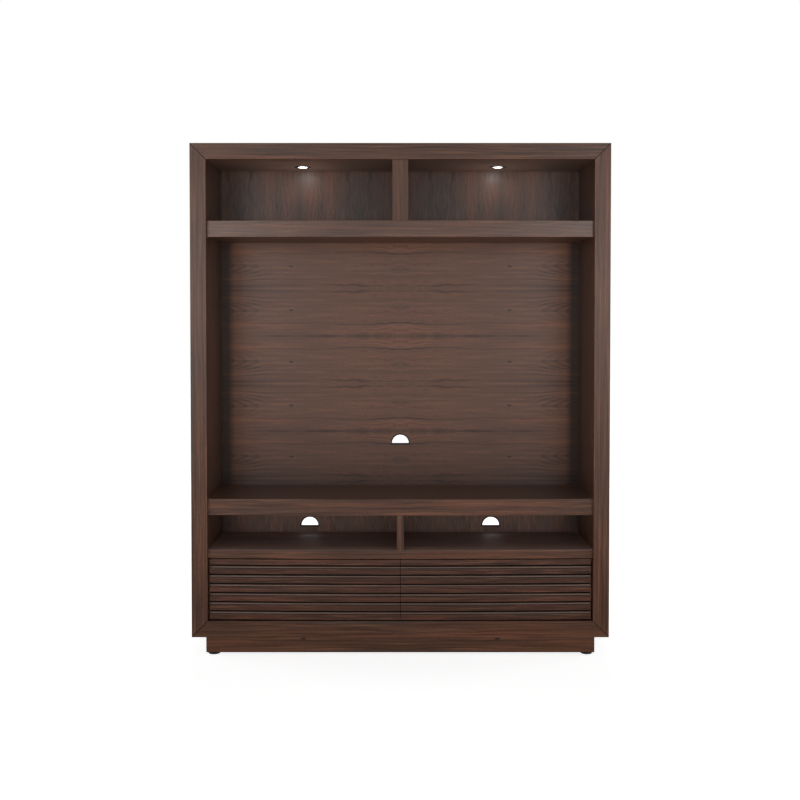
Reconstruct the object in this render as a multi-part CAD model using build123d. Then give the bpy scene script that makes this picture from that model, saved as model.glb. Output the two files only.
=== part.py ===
from build123d import *
import math
import os

# Walnut wall cabinet for a television. A mitred picture frame stands in front of double-skinned
# sides and top. Inside it are two lit display bays, the television bay, two media bays and two wide
# drawers with bowed, slatted fronts. It stands on an inset plinth with four levelling feet.
# Millimetres, +Z up, the front faces -Y, and the origin is on the floor under the middle.

# Clear sizes of the bays
bay_wide = 1595
bay_deep = 440
display_bay_tall = 250
tv_bay_tall = 1083
media_bay_tall = 145

# Mitred frame: two posts and two rails of one section
frame_wide = 66
frame_deep = 38
frame_ease = 1.5

# Boards
skin = 19
lining = 16
back_board = 9
back_recess = 16
stile_deep = 38
shelf_tall = 67
deck_tall = 35
display_divider_wide = 65
media_divider_wide = 30
partition_wide = 19
divider_setback = 2

# Bowed front line of the shelves, deck and drawers, behind the face of the frame
bow_rise = 18
bow_end_setback = 22
edge_end_deep = 16
edge_ease = 1.5

# Plinth and levelling feet
foot_gap = 10
plinth_tall = 66
plinth_board = 19
plinth_side_inset = 58
plinth_front_inset = 12
plinth_back_inset = 30
block_side = 60
block_tall = 40
foot_pad_radius = 24
foot_pad_tall = 5
foot_hub_tall = 9
foot_stem_radius = 5
foot_stem_engage = 25
foot_wall_gap = 5.5
foot_bore_clearance = 0.3

# Half-round cable holes, flat side down
cable_hole_radius = 37.5
tv_cable_hole_rise = 187
media_cable_hole_rise = 29

# Puck lights in the ceiling
lamp_offset = 421
lamp_setback = 280
lamp_hole_clearance = 1
lamp_can_radius = 31
lamp_can_tall = 28
lamp_can_wall = 2
lamp_ring_radius = 38
lamp_ring_tall = 3.5
lamp_ring_bevel = 2.5
lamp_window_radius = 22
lamp_flare = 4
lens_tall = 2.5
lens_clearance = 0.3
led_board_side = 38
led_board_tall = 1.6

# Driver, leads and power inlet in the hollow top
driver_long = 140
driver_deep = 46
driver_headroom = 9
driver_ease = 3
lead_radius = 2.5
lead_lift = 0.2
inlet_radius = 8
inlet_flange_radius = 13
inlet_flange_tall = 2.5
inlet_reach = 14
inlet_socket_radius = 3
inlet_socket_deep = 8
inlet_clearance = 0.3

# Drawer fronts: a plain top course over slats with a groove, a sloping ledge, a kerf and a face each
drawer_gap = 5
drawer_top_gap = 4
drawer_split = 2.5
front_end_deep = 26
slat_courses = 6
slat_pitch = 38
top_course_tall = 22
groove_tall = 8
groove_deep = 14
ledge_tall = 5.5
ledge_top_setback = 6
ledge_low_setback = 2
kerf_tall = 3
kerf_deep = 6

# Drawer boxes
box_board = 15
box_tall = 200
box_rise = 5
box_bottom_board = 8
box_bottom_rise = 10
box_groove_deep = 7
box_groove_clearance = 0.2
tail_count = 4
tail_width_share = 0.66
tail_slope_share = 0.14
partition_front_gap = 2
box_back_gap = 17

# Ball-bearing slides: channels nested in one another, wall to drawer
slide_space = 13
slide_tall = 45
slide_steel = 1.2
slide_gap = 0.4
slide_front_gap = 3
race_tall = 4.3
inner_race_tall = 3.3
cabinet_channel_deep = 9.5
middle_channel_deep = 10.5
channel_lip = 2.6

# Overrun of every cutting shape past what it cuts
overrun = 20

# Places worked out from the sizes above
width = bay_wide + 2 * frame_wide
depth = bay_deep + back_board + back_recess
face_y = -depth / 2
rear_y = depth / 2
frame_rear_y = face_y + frame_deep
panel_y = face_y + bay_deep
outer_x = width / 2
inner_x = bay_wide / 2
base_z = foot_gap + plinth_tall
sill_z = base_z + frame_wide
drawer_tall = top_course_tall + slat_courses * slat_pitch
drawer_low_z = sill_z + drawer_gap
drawer_high_z = drawer_low_z + drawer_tall
deck_low_z = drawer_high_z + drawer_top_gap
deck_high_z = deck_low_z + deck_tall
tv_shelf_low_z = deck_high_z + media_bay_tall
tv_shelf_high_z = tv_shelf_low_z + shelf_tall
mid_shelf_low_z = tv_shelf_high_z + tv_bay_tall
mid_shelf_high_z = mid_shelf_low_z + shelf_tall
head_z = mid_shelf_high_z + display_bay_tall
height = head_z + frame_wide
ceiling_top_z = head_z + lining
top_underside_z = height - skin
floor_z = base_z + skin
driver_tall = top_underside_z - ceiling_top_z - driver_headroom
driver_mid_z = ceiling_top_z + driver_tall / 2

# The bow is one large circle through the ends and the middle of the bay
bow_radius = inner_x**2 / (2 * bow_rise) + bow_rise / 2
bow_front_y = face_y + bow_end_setback - bow_rise
bow_centre_y = bow_front_y + bow_radius
edge_rear_y = face_y + bow_end_setback + edge_end_deep
front_rear_y = face_y + bow_end_setback + front_end_deep
slide_length = panel_y - box_back_gap - front_rear_y - slide_front_gap


def board(x0, x1, y0, y1, z0, z1):
    """Rectangular board between two values on each axis."""
    return Pos(x0, y0, z0) * Box(x1 - x0, y1 - y0, z1 - z0, align=(Align.MIN, Align.MIN, Align.MIN))


def disc(radius, x, y, z0, z1):
    """Upright round bar between two heights."""
    return Pos(x, y, z0) * Cylinder(radius, z1 - z0, align=(Align.CENTER, Align.CENTER, Align.MIN))


def turned(half_section, x, y):
    """Round piece from a half section of radius and height points, about an upright line."""
    face = make_face(Polyline(*half_section, close=True))
    return Pos(x, y, 0) * revolve(Plane.XZ * face, axis=Axis.Z)


def flipped(shape):
    """The same piece for the other side of the cabinet."""
    return mirror(shape, about=Plane.YZ)


def save(name, *solids):
    """Write one sub-part, or a group of like pieces, to its own file."""
    shape = solids[0] if len(solids) == 1 else Compound(list(solids))
    export_step(shape, os.path.join("parts", name + ".step"))


def save_pair(pattern, shape):
    """Write a left-hand piece and its mirror image on the right."""
    save(pattern.format("left"), shape)
    save(pattern.format("right"), flipped(shape))


def save_both(name, shape):
    """Write a left-hand piece and its mirror image as one group."""
    save(name, shape, flipped(shape))


def ring_board(outline, y0, y1):
    """Board with an outline seen from the front, between two depths."""
    face = make_face(Polyline(*outline, close=True))
    return extrude(Plane.XZ.offset(-y1) * face, amount=y1 - y0)


def ring_side(thick, y0, y1):
    """Left side of a rectangular ring of boards, mitred at both ends."""
    inside_x = thick - outer_x
    outline = [
        (-outer_x, base_z),
        (-outer_x, height),
        (inside_x, height - thick),
        (inside_x, base_z + thick),
    ]
    return ring_board(outline, y0, y1)


def ring_top(thick, y0, y1):
    """Top of a rectangular ring of boards, mitred at both ends."""
    inside_x = outer_x - thick
    inside_z = height - thick
    outline = [(-outer_x, height), (outer_x, height), (inside_x, inside_z), (-inside_x, inside_z)]
    return ring_board(outline, y0, y1)


def ring_bottom(thick, y0, y1):
    """Bottom of a rectangular ring of boards, mitred at both ends."""
    inside_x = outer_x - thick
    inside_z = base_z + thick
    outline = [(-outer_x, base_z), (outer_x, base_z), (inside_x, inside_z), (-inside_x, inside_z)]
    return ring_board(outline, y0, y1)


def eased_front(member, along):
    """Frame member with the two long edges of its face rounded over."""
    long_edges = member.edges().filter_by(along).group_by(Axis.Y)[0]
    return fillet(long_edges, frame_ease)


def bow_y(x):
    """Depth of the bowed front line at a distance from the middle."""
    return bow_centre_y - math.sqrt(bow_radius**2 - x**2)


def bowed_board(y_rear, z0, z1):
    """Board across the bay with a bowed front and a flat rear, its front edges eased."""
    left_end = (-inner_x, bow_y(inner_x))
    right_end = (inner_x, bow_y(inner_x))
    front = ThreePointArc(left_end, (0, bow_front_y), right_end)
    sides = Polyline(right_end, (inner_x, y_rear), (-inner_x, y_rear), left_end)
    plan = make_face([front, *sides.edges()])
    solid = extrude(Pos(0, 0, z0) * plan, amount=z1 - z0)
    arrises = solid.edges().filter_by(GeomType.CIRCLE)
    return chamfer(arrises, edge_ease)


def make_frame():
    """Posts and rails of the picture frame, mitred at the corners."""
    save_pair("{}_post", eased_front(ring_side(frame_wide, face_y, frame_rear_y), Axis.Z))
    save("top_rail", eased_front(ring_top(frame_wide, face_y, frame_rear_y), Axis.X))
    save("bottom_rail", eased_front(ring_bottom(frame_wide, face_y, frame_rear_y), Axis.X))


def make_outer_skins():
    """Sides, top and bottom behind the frame, mitred to one another."""
    save_pair("{}_side_panel", ring_side(skin, frame_rear_y, rear_y))
    save("top_panel", ring_top(skin, frame_rear_y, rear_y))
    save("bottom_panel", ring_bottom(skin, frame_rear_y, rear_y))


def make_inner_skins():
    """Inner walls, the rear stiles between the skins, and the ceiling with its lamp holes."""
    wall = board(-inner_x - lining, -inner_x, frame_rear_y, panel_y, floor_z, top_underside_z)
    save_pair("{}_inner_wall", wall)
    stile_y = panel_y - stile_deep
    stile = board(skin - outer_x, -inner_x - lining, stile_y, panel_y, floor_z, top_underside_z)
    save_both("rear_stiles", stile)
    ceiling = board(-inner_x, inner_x, frame_rear_y, panel_y, head_z, ceiling_top_z)
    hole_radius = lamp_can_radius + lamp_hole_clearance
    for x in (-lamp_offset, lamp_offset):
        ceiling -= disc(hole_radius, x, face_y + lamp_setback, head_z - overrun, ceiling_top_z + overrun)
    save("ceiling_panel", ceiling)


def shelf_shell(z0, z1):
    """Thick shelf folded from veneered board: two skins and a front web, open at the rear."""
    outside = board(-inner_x, inner_x, edge_rear_y, panel_y, z0, z1)
    reach = inner_x + overrun
    hollow = board(-reach, reach, edge_rear_y + lining, panel_y + overrun, z0 + lining, z1 - lining)
    return outside - hollow


def make_shelves():
    """Thick shelves with bowed lippings, and the deck over the drawers."""
    for name, low, high in (
        ("mid_shelf", mid_shelf_low_z, mid_shelf_high_z),
        ("tv_shelf", tv_shelf_low_z, tv_shelf_high_z),
    ):
        save(name, shelf_shell(low, high))
        save(name + "_edge", bowed_board(edge_rear_y, low, high))
    save("media_deck", bowed_board(panel_y, deck_low_z, deck_high_z))


def make_dividers():
    """Upright boards in the middle of the display bays, the media bays and the drawer bay."""
    front_y = bow_front_y + divider_setback
    half = display_divider_wide / 2
    save("display_divider", board(-half, half, front_y, panel_y, mid_shelf_high_z, head_z))
    half = media_divider_wide / 2
    save("media_divider", board(-half, half, front_y, panel_y, deck_high_z, tv_shelf_low_z))
    half = partition_wide / 2
    partition_front_y = front_rear_y + partition_front_gap
    save("drawer_partition", board(-half, half, partition_front_y, panel_y, floor_z, deck_low_z))


def cable_hole(x, z):
    """Half-round cutter through a back panel, flat side down at a height."""
    whole = Pos(x, panel_y, z) * Rot(90, 0, 0) * Cylinder(cable_hole_radius, 2 * (back_board + overrun))
    reach = cable_hole_radius + overrun
    above = board(x - reach, x + reach, panel_y - reach, panel_y + reach, z, z + reach)
    return whole & above


def make_backs():
    """Three back panels that meet behind the thick shelves, with holes for cables and the inlet."""
    half = outer_x - skin
    tv_seam_z = (tv_shelf_low_z + tv_shelf_high_z) / 2
    mid_seam_z = (mid_shelf_low_z + mid_shelf_high_z) / 2
    media_hole_x = (inner_x + media_divider_wide / 2) / 2
    lower = board(-half, half, panel_y, panel_y + back_board, floor_z, tv_seam_z)
    for x in (-media_hole_x, media_hole_x):
        lower -= cable_hole(x, deck_high_z + media_cable_hole_rise)
    save("lower_back_panel", lower)
    middle = board(-half, half, panel_y, panel_y + back_board, tv_seam_z, mid_seam_z)
    save("tv_back_panel", middle - cable_hole(0, tv_shelf_high_z + tv_cable_hole_rise))
    upper = board(-half, half, panel_y, panel_y + back_board, mid_seam_z, top_underside_z)
    hole = Cylinder(inlet_radius + inlet_clearance, 2 * (back_board + overrun))
    save("upper_back_panel", upper - Pos(0, panel_y, driver_mid_z) * Rot(90, 0, 0) * hole)


def plinth_corners():
    """Outer plan corners of the plinth: half width, front and back."""
    return outer_x - plinth_side_inset, face_y + plinth_front_inset, rear_y - plinth_back_inset


def make_plinth():
    """Plinth boards, mitred at the front corners and butted at the back, with corner blocks."""
    half, front, back = plinth_corners()
    inner_half = half - plinth_board
    inner_front = front + plinth_board
    inner_back = back - plinth_board
    front_plan = [(-half, front), (half, front), (inner_half, inner_front), (-inner_half, inner_front)]
    end_plan = [(-half, front), (-inner_half, inner_front), (-inner_half, back), (-half, back)]
    front_face = Pos(0, 0, foot_gap) * make_face(Polyline(*front_plan, close=True))
    end_face = Pos(0, 0, foot_gap) * make_face(Polyline(*end_plan, close=True))
    save("plinth_front", extrude(front_face, amount=plinth_tall))
    save_pair("plinth_{}_end", extrude(end_face, amount=plinth_tall))
    save("plinth_back", board(-inner_half, inner_half, inner_back, back, foot_gap, base_z))
    blocks = []
    for x, y in foot_places():
        x0 = -inner_half if x < 0 else inner_half - block_side
        y0 = inner_front if y < 0 else inner_back - block_side
        block = board(x0, x0 + block_side, y0, y0 + block_side, base_z - block_tall, base_z)
        bore = disc(foot_stem_radius + foot_bore_clearance, x, y, foot_gap, base_z + overrun)
        blocks.append(block - bore)
    save("plinth_corner_blocks", *blocks)


def foot_places():
    """Plan places of the feet beside the plinth boards: the front pair, then the back, left first."""
    half, front, back = plinth_corners()
    in_from_board = plinth_board + foot_wall_gap + foot_stem_radius
    side_x = half - in_from_board
    return [(x, y) for y in (front + in_from_board, back - in_from_board) for x in (-side_x, side_x)]


def make_feet():
    """Levelling feet: round pads on stems that screw into the corner blocks."""
    stem_top_z = base_z - block_tall + foot_stem_engage
    half_section = [
        (0, 0),
        (foot_pad_radius, 0),
        (foot_pad_radius, foot_pad_tall),
        (foot_stem_radius, foot_hub_tall),
        (foot_stem_radius, stem_top_z),
        (0, stem_top_z),
    ]
    names = ("front_left_foot", "front_right_foot", "back_left_foot", "back_right_foot")
    for name, (x, y) in zip(names, foot_places()):
        save(name, turned(half_section, x, y))


def make_lamps():
    """Puck lights: a can through the ceiling, a flared ring under it, a lens and an LED board."""
    y = face_y + lamp_setback
    can_top_z = head_z + lamp_can_tall
    can_inside = lamp_can_radius - lamp_can_wall
    lip_z = head_z - lamp_ring_tall
    can = [
        (can_inside, head_z),
        (lamp_can_radius, head_z),
        (lamp_can_radius, can_top_z),
        (0, can_top_z),
        (0, can_top_z - lamp_can_wall),
        (can_inside, can_top_z - lamp_can_wall),
    ]
    ring = [
        (lamp_window_radius, head_z),
        (lamp_ring_radius, head_z),
        (lamp_ring_radius - lamp_ring_bevel, lip_z),
        (lamp_window_radius + lamp_flare, lip_z),
    ]
    lens_radius = can_inside - lens_clearance
    led_top_z = can_top_z - lamp_can_wall
    save_both("lamp_cans", turned(can, -lamp_offset, y))
    save_both("lamp_rings", turned(ring, -lamp_offset, y))
    save_both("lamp_lenses", disc(lens_radius, -lamp_offset, y, head_z, head_z + lens_tall))
    half = led_board_side / 2
    led_board = board(-half, half, -half, half, led_top_z - led_board_tall, led_top_z)
    save_both("lamp_led_boards", Pos(-lamp_offset, y, 0) * led_board)


def bar(radius, start, end):
    """Round bar between two points."""
    run = Line(start, end)
    return sweep(Plane(origin=start, z_dir=run % 0) * Circle(radius), path=run)


def make_wiring():
    """Driver on the ceiling panel between the lamps, its leads, and the power inlet in the back panel."""
    lamp_y = face_y + lamp_setback
    driver_front_y = lamp_y - driver_deep / 2
    driver_rear_y = lamp_y + driver_deep / 2
    half = driver_long / 2
    body = board(-half, half, driver_front_y, driver_rear_y, ceiling_top_z, ceiling_top_z + driver_tall)
    save("lamp_driver", chamfer(body.edges().filter_by(Axis.Z), driver_ease))
    lead_z = ceiling_top_z + lead_radius + lead_lift
    can_edge_x = lamp_offset - lamp_can_radius
    left_lead = bar(lead_radius, (-can_edge_x, lamp_y, lead_z), (-half, lamp_y, lead_z))
    socket_y = panel_y - inlet_reach
    power_lead = bar(lead_radius, (0, driver_rear_y, driver_mid_z), (0, socket_y, driver_mid_z))
    save("lamp_leads", left_lead, flipped(left_lead), power_lead)
    barrel_long = panel_y + back_board - socket_y
    inlet_long = barrel_long + inlet_flange_tall
    barrel = disc(inlet_radius, 0, 0, 0, barrel_long)
    flange = disc(inlet_flange_radius, 0, 0, barrel_long, inlet_long)
    socket = disc(inlet_socket_radius, 0, 0, inlet_long - inlet_socket_deep, inlet_long + overrun)
    save("power_inlet", Pos(0, socket_y, driver_mid_z) * Rot(-90, 0, 0) * (barrel + flange - socket))


def slat_section():
    """Section of a drawer front: plain top course, then a groove, ledge, kerf and face per slat."""
    points = [(0, drawer_high_z)]
    z = drawer_high_z - top_course_tall
    for course in range(slat_courses):
        ledge_z = z - groove_tall
        kerf_z = ledge_z - ledge_tall
        points += [
            (0, z),
            (groove_deep, z),
            (groove_deep, ledge_z),
            (ledge_top_setback, ledge_z),
            (ledge_low_setback, kerf_z),
            (kerf_deep, kerf_z),
            (kerf_deep, kerf_z - kerf_tall),
            (0, kerf_z - kerf_tall),
        ]
        z -= slat_pitch
    points.append((0, z))
    rear = front_end_deep + bow_rise + overrun
    points += [(rear, z), (rear, drawer_high_z)]
    return [(bow_front_y + behind, height_z) for behind, height_z in points]


def drawer_front():
    """Left drawer front: the slat section swept along the bow and cut to length, flat at the rear."""
    half_angle = math.degrees(math.asin((inner_x + overrun) / bow_radius))
    section = Plane.YZ * make_face(Polyline(*slat_section(), close=True))
    to_start = Pos(0, bow_centre_y, 0) * Rot(0, 0, -half_angle) * Pos(0, -bow_centre_y, 0)
    axis = Axis((0, bow_centre_y, 0), (0, 0, 1))
    swept = revolve(to_start * section, axis=axis, revolution_arc=2 * half_angle)
    x0 = drawer_gap - inner_x
    return swept & board(x0, -drawer_split / 2, face_y - overrun, front_rear_y, drawer_low_z, drawer_high_z)


def box_places():
    """Outer X faces of the left drawer box, its depths and its heights."""
    x0 = slide_space - inner_x
    x1 = -partition_wide / 2 - slide_space
    y1 = panel_y - box_back_gap
    z0 = drawer_low_z + box_rise
    return x0, x1, front_rear_y, y1, z0, z0 + box_tall


def tails(x, end_y, shoulder_y, z0, z1):
    """Row of dovetails through a side: wide at its end, narrow at the shoulder."""
    pitch = (z1 - z0) / tail_count
    end_half = pitch * tail_width_share / 2
    shoulder_half = end_half - box_board * tail_slope_share
    row = []
    for number in range(tail_count):
        middle = z0 + pitch * (number + 1 / 2)
        outline = [
            (end_y, middle - end_half),
            (end_y, middle + end_half),
            (shoulder_y, middle + shoulder_half),
            (shoulder_y, middle - shoulder_half),
        ]
        face = Plane.YZ * make_face(Polyline(*outline, close=True))
        row.append(extrude(Pos(x, 0, 0) * face, amount=box_board))
    return row


def make_drawers():
    """Drawer fronts and dovetailed boxes. The bottom slides in grooves, under the back."""
    x0, x1, y0, y1, z0, z1 = box_places()
    bottom_z = z0 + box_bottom_rise
    back_low_z = bottom_z + box_bottom_board + box_groove_clearance
    web = box_board - box_groove_deep
    groove = board(x0 + web, x1 - web, y0 + web, y1 + overrun, bottom_z - box_groove_clearance, back_low_z)
    front_shoulder_y = y0 + box_board
    back_shoulder_y = y1 - box_board
    box_front = board(x0, x1, y0, front_shoulder_y, z0, z1) - groove
    box_back = board(x0, x1, back_shoulder_y, y1, back_low_z, z1)
    for name, x in (("outer", x0), ("inner", x1 - box_board)):
        front_tails = tails(x, y0, front_shoulder_y, z0, z1)
        back_tails = tails(x, y1, back_shoulder_y, back_low_z, z1)
        side = board(x, x + box_board, front_shoulder_y, back_shoulder_y, z0, z1)
        below_back = board(x, x + box_board, back_shoulder_y, y1, z0, back_low_z)
        save_pair("{}_drawer_" + name + "_side", side + below_back + front_tails + back_tails - groove)
        box_front -= front_tails
        box_back -= back_tails
    inset = web + box_groove_clearance
    bottom = board(x0 + inset, x1 - inset, y0 + inset, y1, bottom_z, bottom_z + box_bottom_board)
    save_pair("{}_drawer_front", drawer_front())
    save_pair("{}_drawer_box_front", box_front)
    save_pair("{}_drawer_box_back", box_back)
    save_pair("{}_drawer_bottom", bottom)


def channel(reach, half_tall, web_outside, lip):
    """Section of a slide channel: a web, two flanges and, if asked for, lips turned inwards."""
    outside = board(0, reach, 0, slide_length, -half_tall, half_tall)
    half_inside = half_tall - slide_steel
    hollow = board(slide_steel, reach + overrun, -overrun, slide_length + overrun, -half_inside, half_inside)
    shape = outside - hollow
    if lip:
        for z0 in (-half_inside, half_inside - lip):
            shape += board(reach - slide_steel, reach, 0, slide_length, z0, z0 + lip)
    return shape if web_outside else mirror(shape, about=Plane.YZ)


def make_slides():
    """Two slides to a drawer: a channel on the cabinet, one in the middle and one on the drawer."""
    half_tall = slide_tall / 2
    middle_half = half_tall - slide_steel - race_tall
    drawer_half = middle_half - slide_steel - inner_race_tall
    middle_x = slide_steel + slide_gap
    drawer_reach = slide_space - middle_x - slide_steel - slide_gap
    cabinet = channel(cabinet_channel_deep, half_tall, True, channel_lip)
    middle = Pos(middle_x, 0, 0) * channel(middle_channel_deep - middle_x, middle_half, True, None)
    drawer = Pos(slide_space, 0, 0) * channel(drawer_reach, drawer_half, False, None)
    x0, x1, y0, y1, z0, z1 = box_places()
    slide_z = (z0 + z1) / 2
    slide_y = y0 + slide_front_gap
    at_wall = Pos(-inner_x, slide_y, slide_z)
    at_partition = Pos(-partition_wide / 2, slide_y, slide_z)
    cabinet_pair = [at_wall * cabinet, at_partition * flipped(cabinet)]
    save("slide_cabinet_channels", *cabinet_pair, *[flipped(piece) for piece in cabinet_pair])
    for name, piece in (("slide_middle_channels", middle), ("slide_drawer_channels", drawer)):
        pair = [at_wall * piece, at_partition * flipped(piece)]
        save("left_" + name, *pair)
        save("right_" + name, *[flipped(one) for one in pair])


os.makedirs("parts", exist_ok=True)
make_frame()
make_outer_skins()
make_inner_skins()
make_shelves()
make_dividers()
make_backs()
make_plinth()
make_feet()
make_lamps()
make_wiring()
make_drawers()
make_slides()
print("overall size", width, depth, height)
print("drawer travel", slide_length)
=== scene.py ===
import math
from functools import partial

import bpy
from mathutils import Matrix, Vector


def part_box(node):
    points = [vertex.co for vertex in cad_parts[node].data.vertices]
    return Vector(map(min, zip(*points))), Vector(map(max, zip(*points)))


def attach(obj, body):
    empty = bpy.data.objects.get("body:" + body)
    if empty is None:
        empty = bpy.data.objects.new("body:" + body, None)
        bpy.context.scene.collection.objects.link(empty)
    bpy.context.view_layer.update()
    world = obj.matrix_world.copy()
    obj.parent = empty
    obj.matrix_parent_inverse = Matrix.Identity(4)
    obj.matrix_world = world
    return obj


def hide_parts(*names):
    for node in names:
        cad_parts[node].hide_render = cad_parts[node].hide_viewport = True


# Walnut wall cabinet for a television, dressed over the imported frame.
# Metres, +Z up, the front faces -Y. Values in the dictionaries are millimetres and degrees.

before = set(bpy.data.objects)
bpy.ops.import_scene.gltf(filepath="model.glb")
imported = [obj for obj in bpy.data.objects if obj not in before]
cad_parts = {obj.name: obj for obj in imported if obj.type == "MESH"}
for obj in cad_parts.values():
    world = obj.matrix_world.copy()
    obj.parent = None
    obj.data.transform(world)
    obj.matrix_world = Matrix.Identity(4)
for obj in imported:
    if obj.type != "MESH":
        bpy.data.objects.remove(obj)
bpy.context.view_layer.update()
print("frame loaded:", len(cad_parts), "nodes")


def mm(value):
    return value / 1000


def inMetres(look, counts=()):
    # a dictionary of millimetres as metres, apart from its counts
    return {key: value if key in counts else mm(value) for key, value in look.items()}


hair = 1e-5       # two places closer than this are one place
overrun = mm(20)  # how far a cutter reaches past what it cuts


def near(a, b):
    return abs(a - b) < hair


# Helpers for meshes

def deselectAll():
    if bpy.context.object and bpy.context.object.mode == "EDIT":
        bpy.ops.object.mode_set(mode="OBJECT")
    bpy.ops.object.select_all(action="DESELECT")


def makeActive(piece):
    deselectAll()
    piece.select_set(True)
    bpy.context.view_layer.objects.active = piece


def addBlock(name, low, high):
    # a cube at its size and place, with the place moved into the mesh
    deselectAll()
    size = [b - a for a, b in zip(low, high)]
    middle = [(a + b) / 2 for a, b in zip(low, high)]
    bpy.ops.mesh.primitive_cube_add(size=1, location=middle, scale=size)
    piece = bpy.context.object
    piece.name = name
    bpy.ops.object.transform_apply(location=True, rotation=False, scale=True)
    return piece


def nodeBlock(name, node):
    low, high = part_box(node)
    return addBlock(name, low, high)


def editWhole(piece):
    makeActive(piece)
    bpy.ops.object.mode_set(mode="EDIT")
    bpy.ops.mesh.select_all(action="SELECT")


def selectNothing(mesh):
    for part in (mesh.vertices, mesh.edges, mesh.polygons):
        part.foreach_set("select", [False] * len(part))


def editEdges(piece, test):
    # edit mode, with the edges selected whose two ends pass the test
    makeActive(piece)
    bpy.context.tool_settings.mesh_select_mode = (False, True, False)
    selectNothing(piece.data)
    for edge in piece.data.edges:
        edge.select = test(*(piece.data.vertices[i].co for i in edge.vertices))
    bpy.ops.object.mode_set(mode="EDIT")


def editFaces(piece, test):
    # edit mode, with the faces selected whose middle and normal pass the test
    makeActive(piece)
    bpy.context.tool_settings.mesh_select_mode = (False, False, True)
    selectNothing(piece.data)
    for face in piece.data.polygons:
        face.select = test(face.center, face.normal)
    bpy.ops.object.mode_set(mode="EDIT")


def leaveEdit():
    bpy.ops.object.mode_set(mode="OBJECT")


def sawOff(piece, point, away):
    # cuts off what lies on the away side of a plane and closes the cut
    editWhole(piece)
    bpy.ops.mesh.bisect(plane_co=point, plane_no=away, use_fill=True, clear_outer=True)
    leaveEdit()


def sawToNode(piece, low, high):
    # saws a bowed piece off at the rear and at both ends of its node's box
    sawOff(piece, (0, high.y, 0), (0, 1, 0))
    sawOff(piece, (low.x, 0, 0), (-1, 0, 0))
    sawOff(piece, (high.x, 0, 0), (1, 0, 0))


def easeEdges(piece, width, steps, test):
    # rounds the chosen edges over
    editEdges(piece, test)
    bpy.ops.mesh.bevel(offset=mm(width), segments=steps, affect="EDGES", clamp_overlap=True)
    leaveEdit()


def easeAll(piece, width, steps=2):
    # rounds every arris of a board with a modifier, then applies it
    makeActive(piece)
    bevel = piece.modifiers.new("Ease", "BEVEL")
    bevel.width = mm(width)
    bevel.segments = steps
    bevel.limit_method = "ANGLE"
    bevel.angle_limit = math.radians(30)
    bpy.ops.object.modifier_apply(modifier=bevel.name)


def weighNormals(piece):
    # keeps the broad faces flat in the shading, and only the rounded arrises soft
    makeActive(piece)
    weigh = piece.modifiers.new("Weigh", "WEIGHTED_NORMAL")
    weigh.keep_sharp = True
    bpy.ops.object.modifier_apply(modifier=weigh.name)


def cutWith(piece, cutter):
    # takes the cutter's shape out of the piece and deletes the cutter
    makeActive(piece)
    cut = piece.modifiers.new("Cut", "BOOLEAN")
    cut.operation = "DIFFERENCE"
    cut.solver = "EXACT"
    cut.object = cutter
    bpy.ops.object.modifier_apply(modifier=cut.name)
    bpy.data.objects.remove(cutter)


def drawOutline(name, points, rounding=0, steps=2, isRounded=None):
    # a filled outline in the plane x = 0, drawn corner by corner from a merged plane
    deselectAll()
    bpy.ops.mesh.primitive_plane_add(size=mm(1))
    piece = bpy.context.object
    piece.name = name
    bpy.context.tool_settings.mesh_select_mode = (True, False, False)
    bpy.ops.object.mode_set(mode="EDIT")
    bpy.ops.mesh.select_all(action="SELECT")
    bpy.ops.mesh.merge(type="CENTER")
    bpy.ops.transform.translate(value=(0, *points[0]))
    for (y0, z0), (y1, z1) in zip(points, points[1:]):
        bpy.ops.mesh.extrude_vertices_move(TRANSFORM_OT_translate={"value": (0, y1 - y0, z1 - z0)})
    leaveEdit()
    for vertex in piece.data.vertices:
        vertex.select = vertex.index in (0, len(points) - 1)
    bpy.ops.object.mode_set(mode="EDIT")
    bpy.ops.mesh.edge_face_add()
    bpy.ops.mesh.select_all(action="SELECT")
    bpy.ops.mesh.edge_face_add()
    leaveEdit()
    if rounding:
        selectNothing(piece.data)
        for vertex in piece.data.vertices:
            vertex.select = isRounded(vertex.co)
        bpy.ops.object.mode_set(mode="EDIT")
        bpy.ops.mesh.bevel(
            offset=mm(rounding), segments=steps, affect="VERTICES", clamp_overlap=True)
        leaveEdit()
    return piece


def spinOutline(piece, steps, angle, centre):
    # turns the filled outline about an upright line
    editWhole(piece)
    bpy.ops.mesh.spin(steps=steps, angle=angle, center=centre, axis=(0, 0, 1))
    bpy.ops.mesh.select_all(action="SELECT")
    if math.isclose(abs(angle), math.tau):
        bpy.ops.mesh.remove_doubles(threshold=hair)
    bpy.ops.mesh.normals_make_consistent(inside=False)
    leaveEdit()


def turnPiece(name, points, steps, x=0, y=0, rounding=0, isRounded=None):
    # a round piece from a half section of (radius, height) points, turned about an upright line
    piece = drawOutline(name, points, rounding, 2, isRounded)
    # the turned line has to be open, or the section stays inside
    editWhole(piece)
    bpy.ops.mesh.delete(type="ONLY_FACE")
    leaveEdit()
    editEdges(piece, lambda a, b: near(a.y, 0) and near(b.y, 0))
    bpy.ops.mesh.delete(type="EDGE")
    leaveEdit()
    bpy.context.tool_settings.mesh_select_mode = (True, False, False)
    spinOutline(piece, steps, math.tau, (0, 0, 0))
    editWhole(piece)
    bpy.ops.transform.translate(value=(x, y, 0))
    leaveEdit()
    return piece


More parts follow.
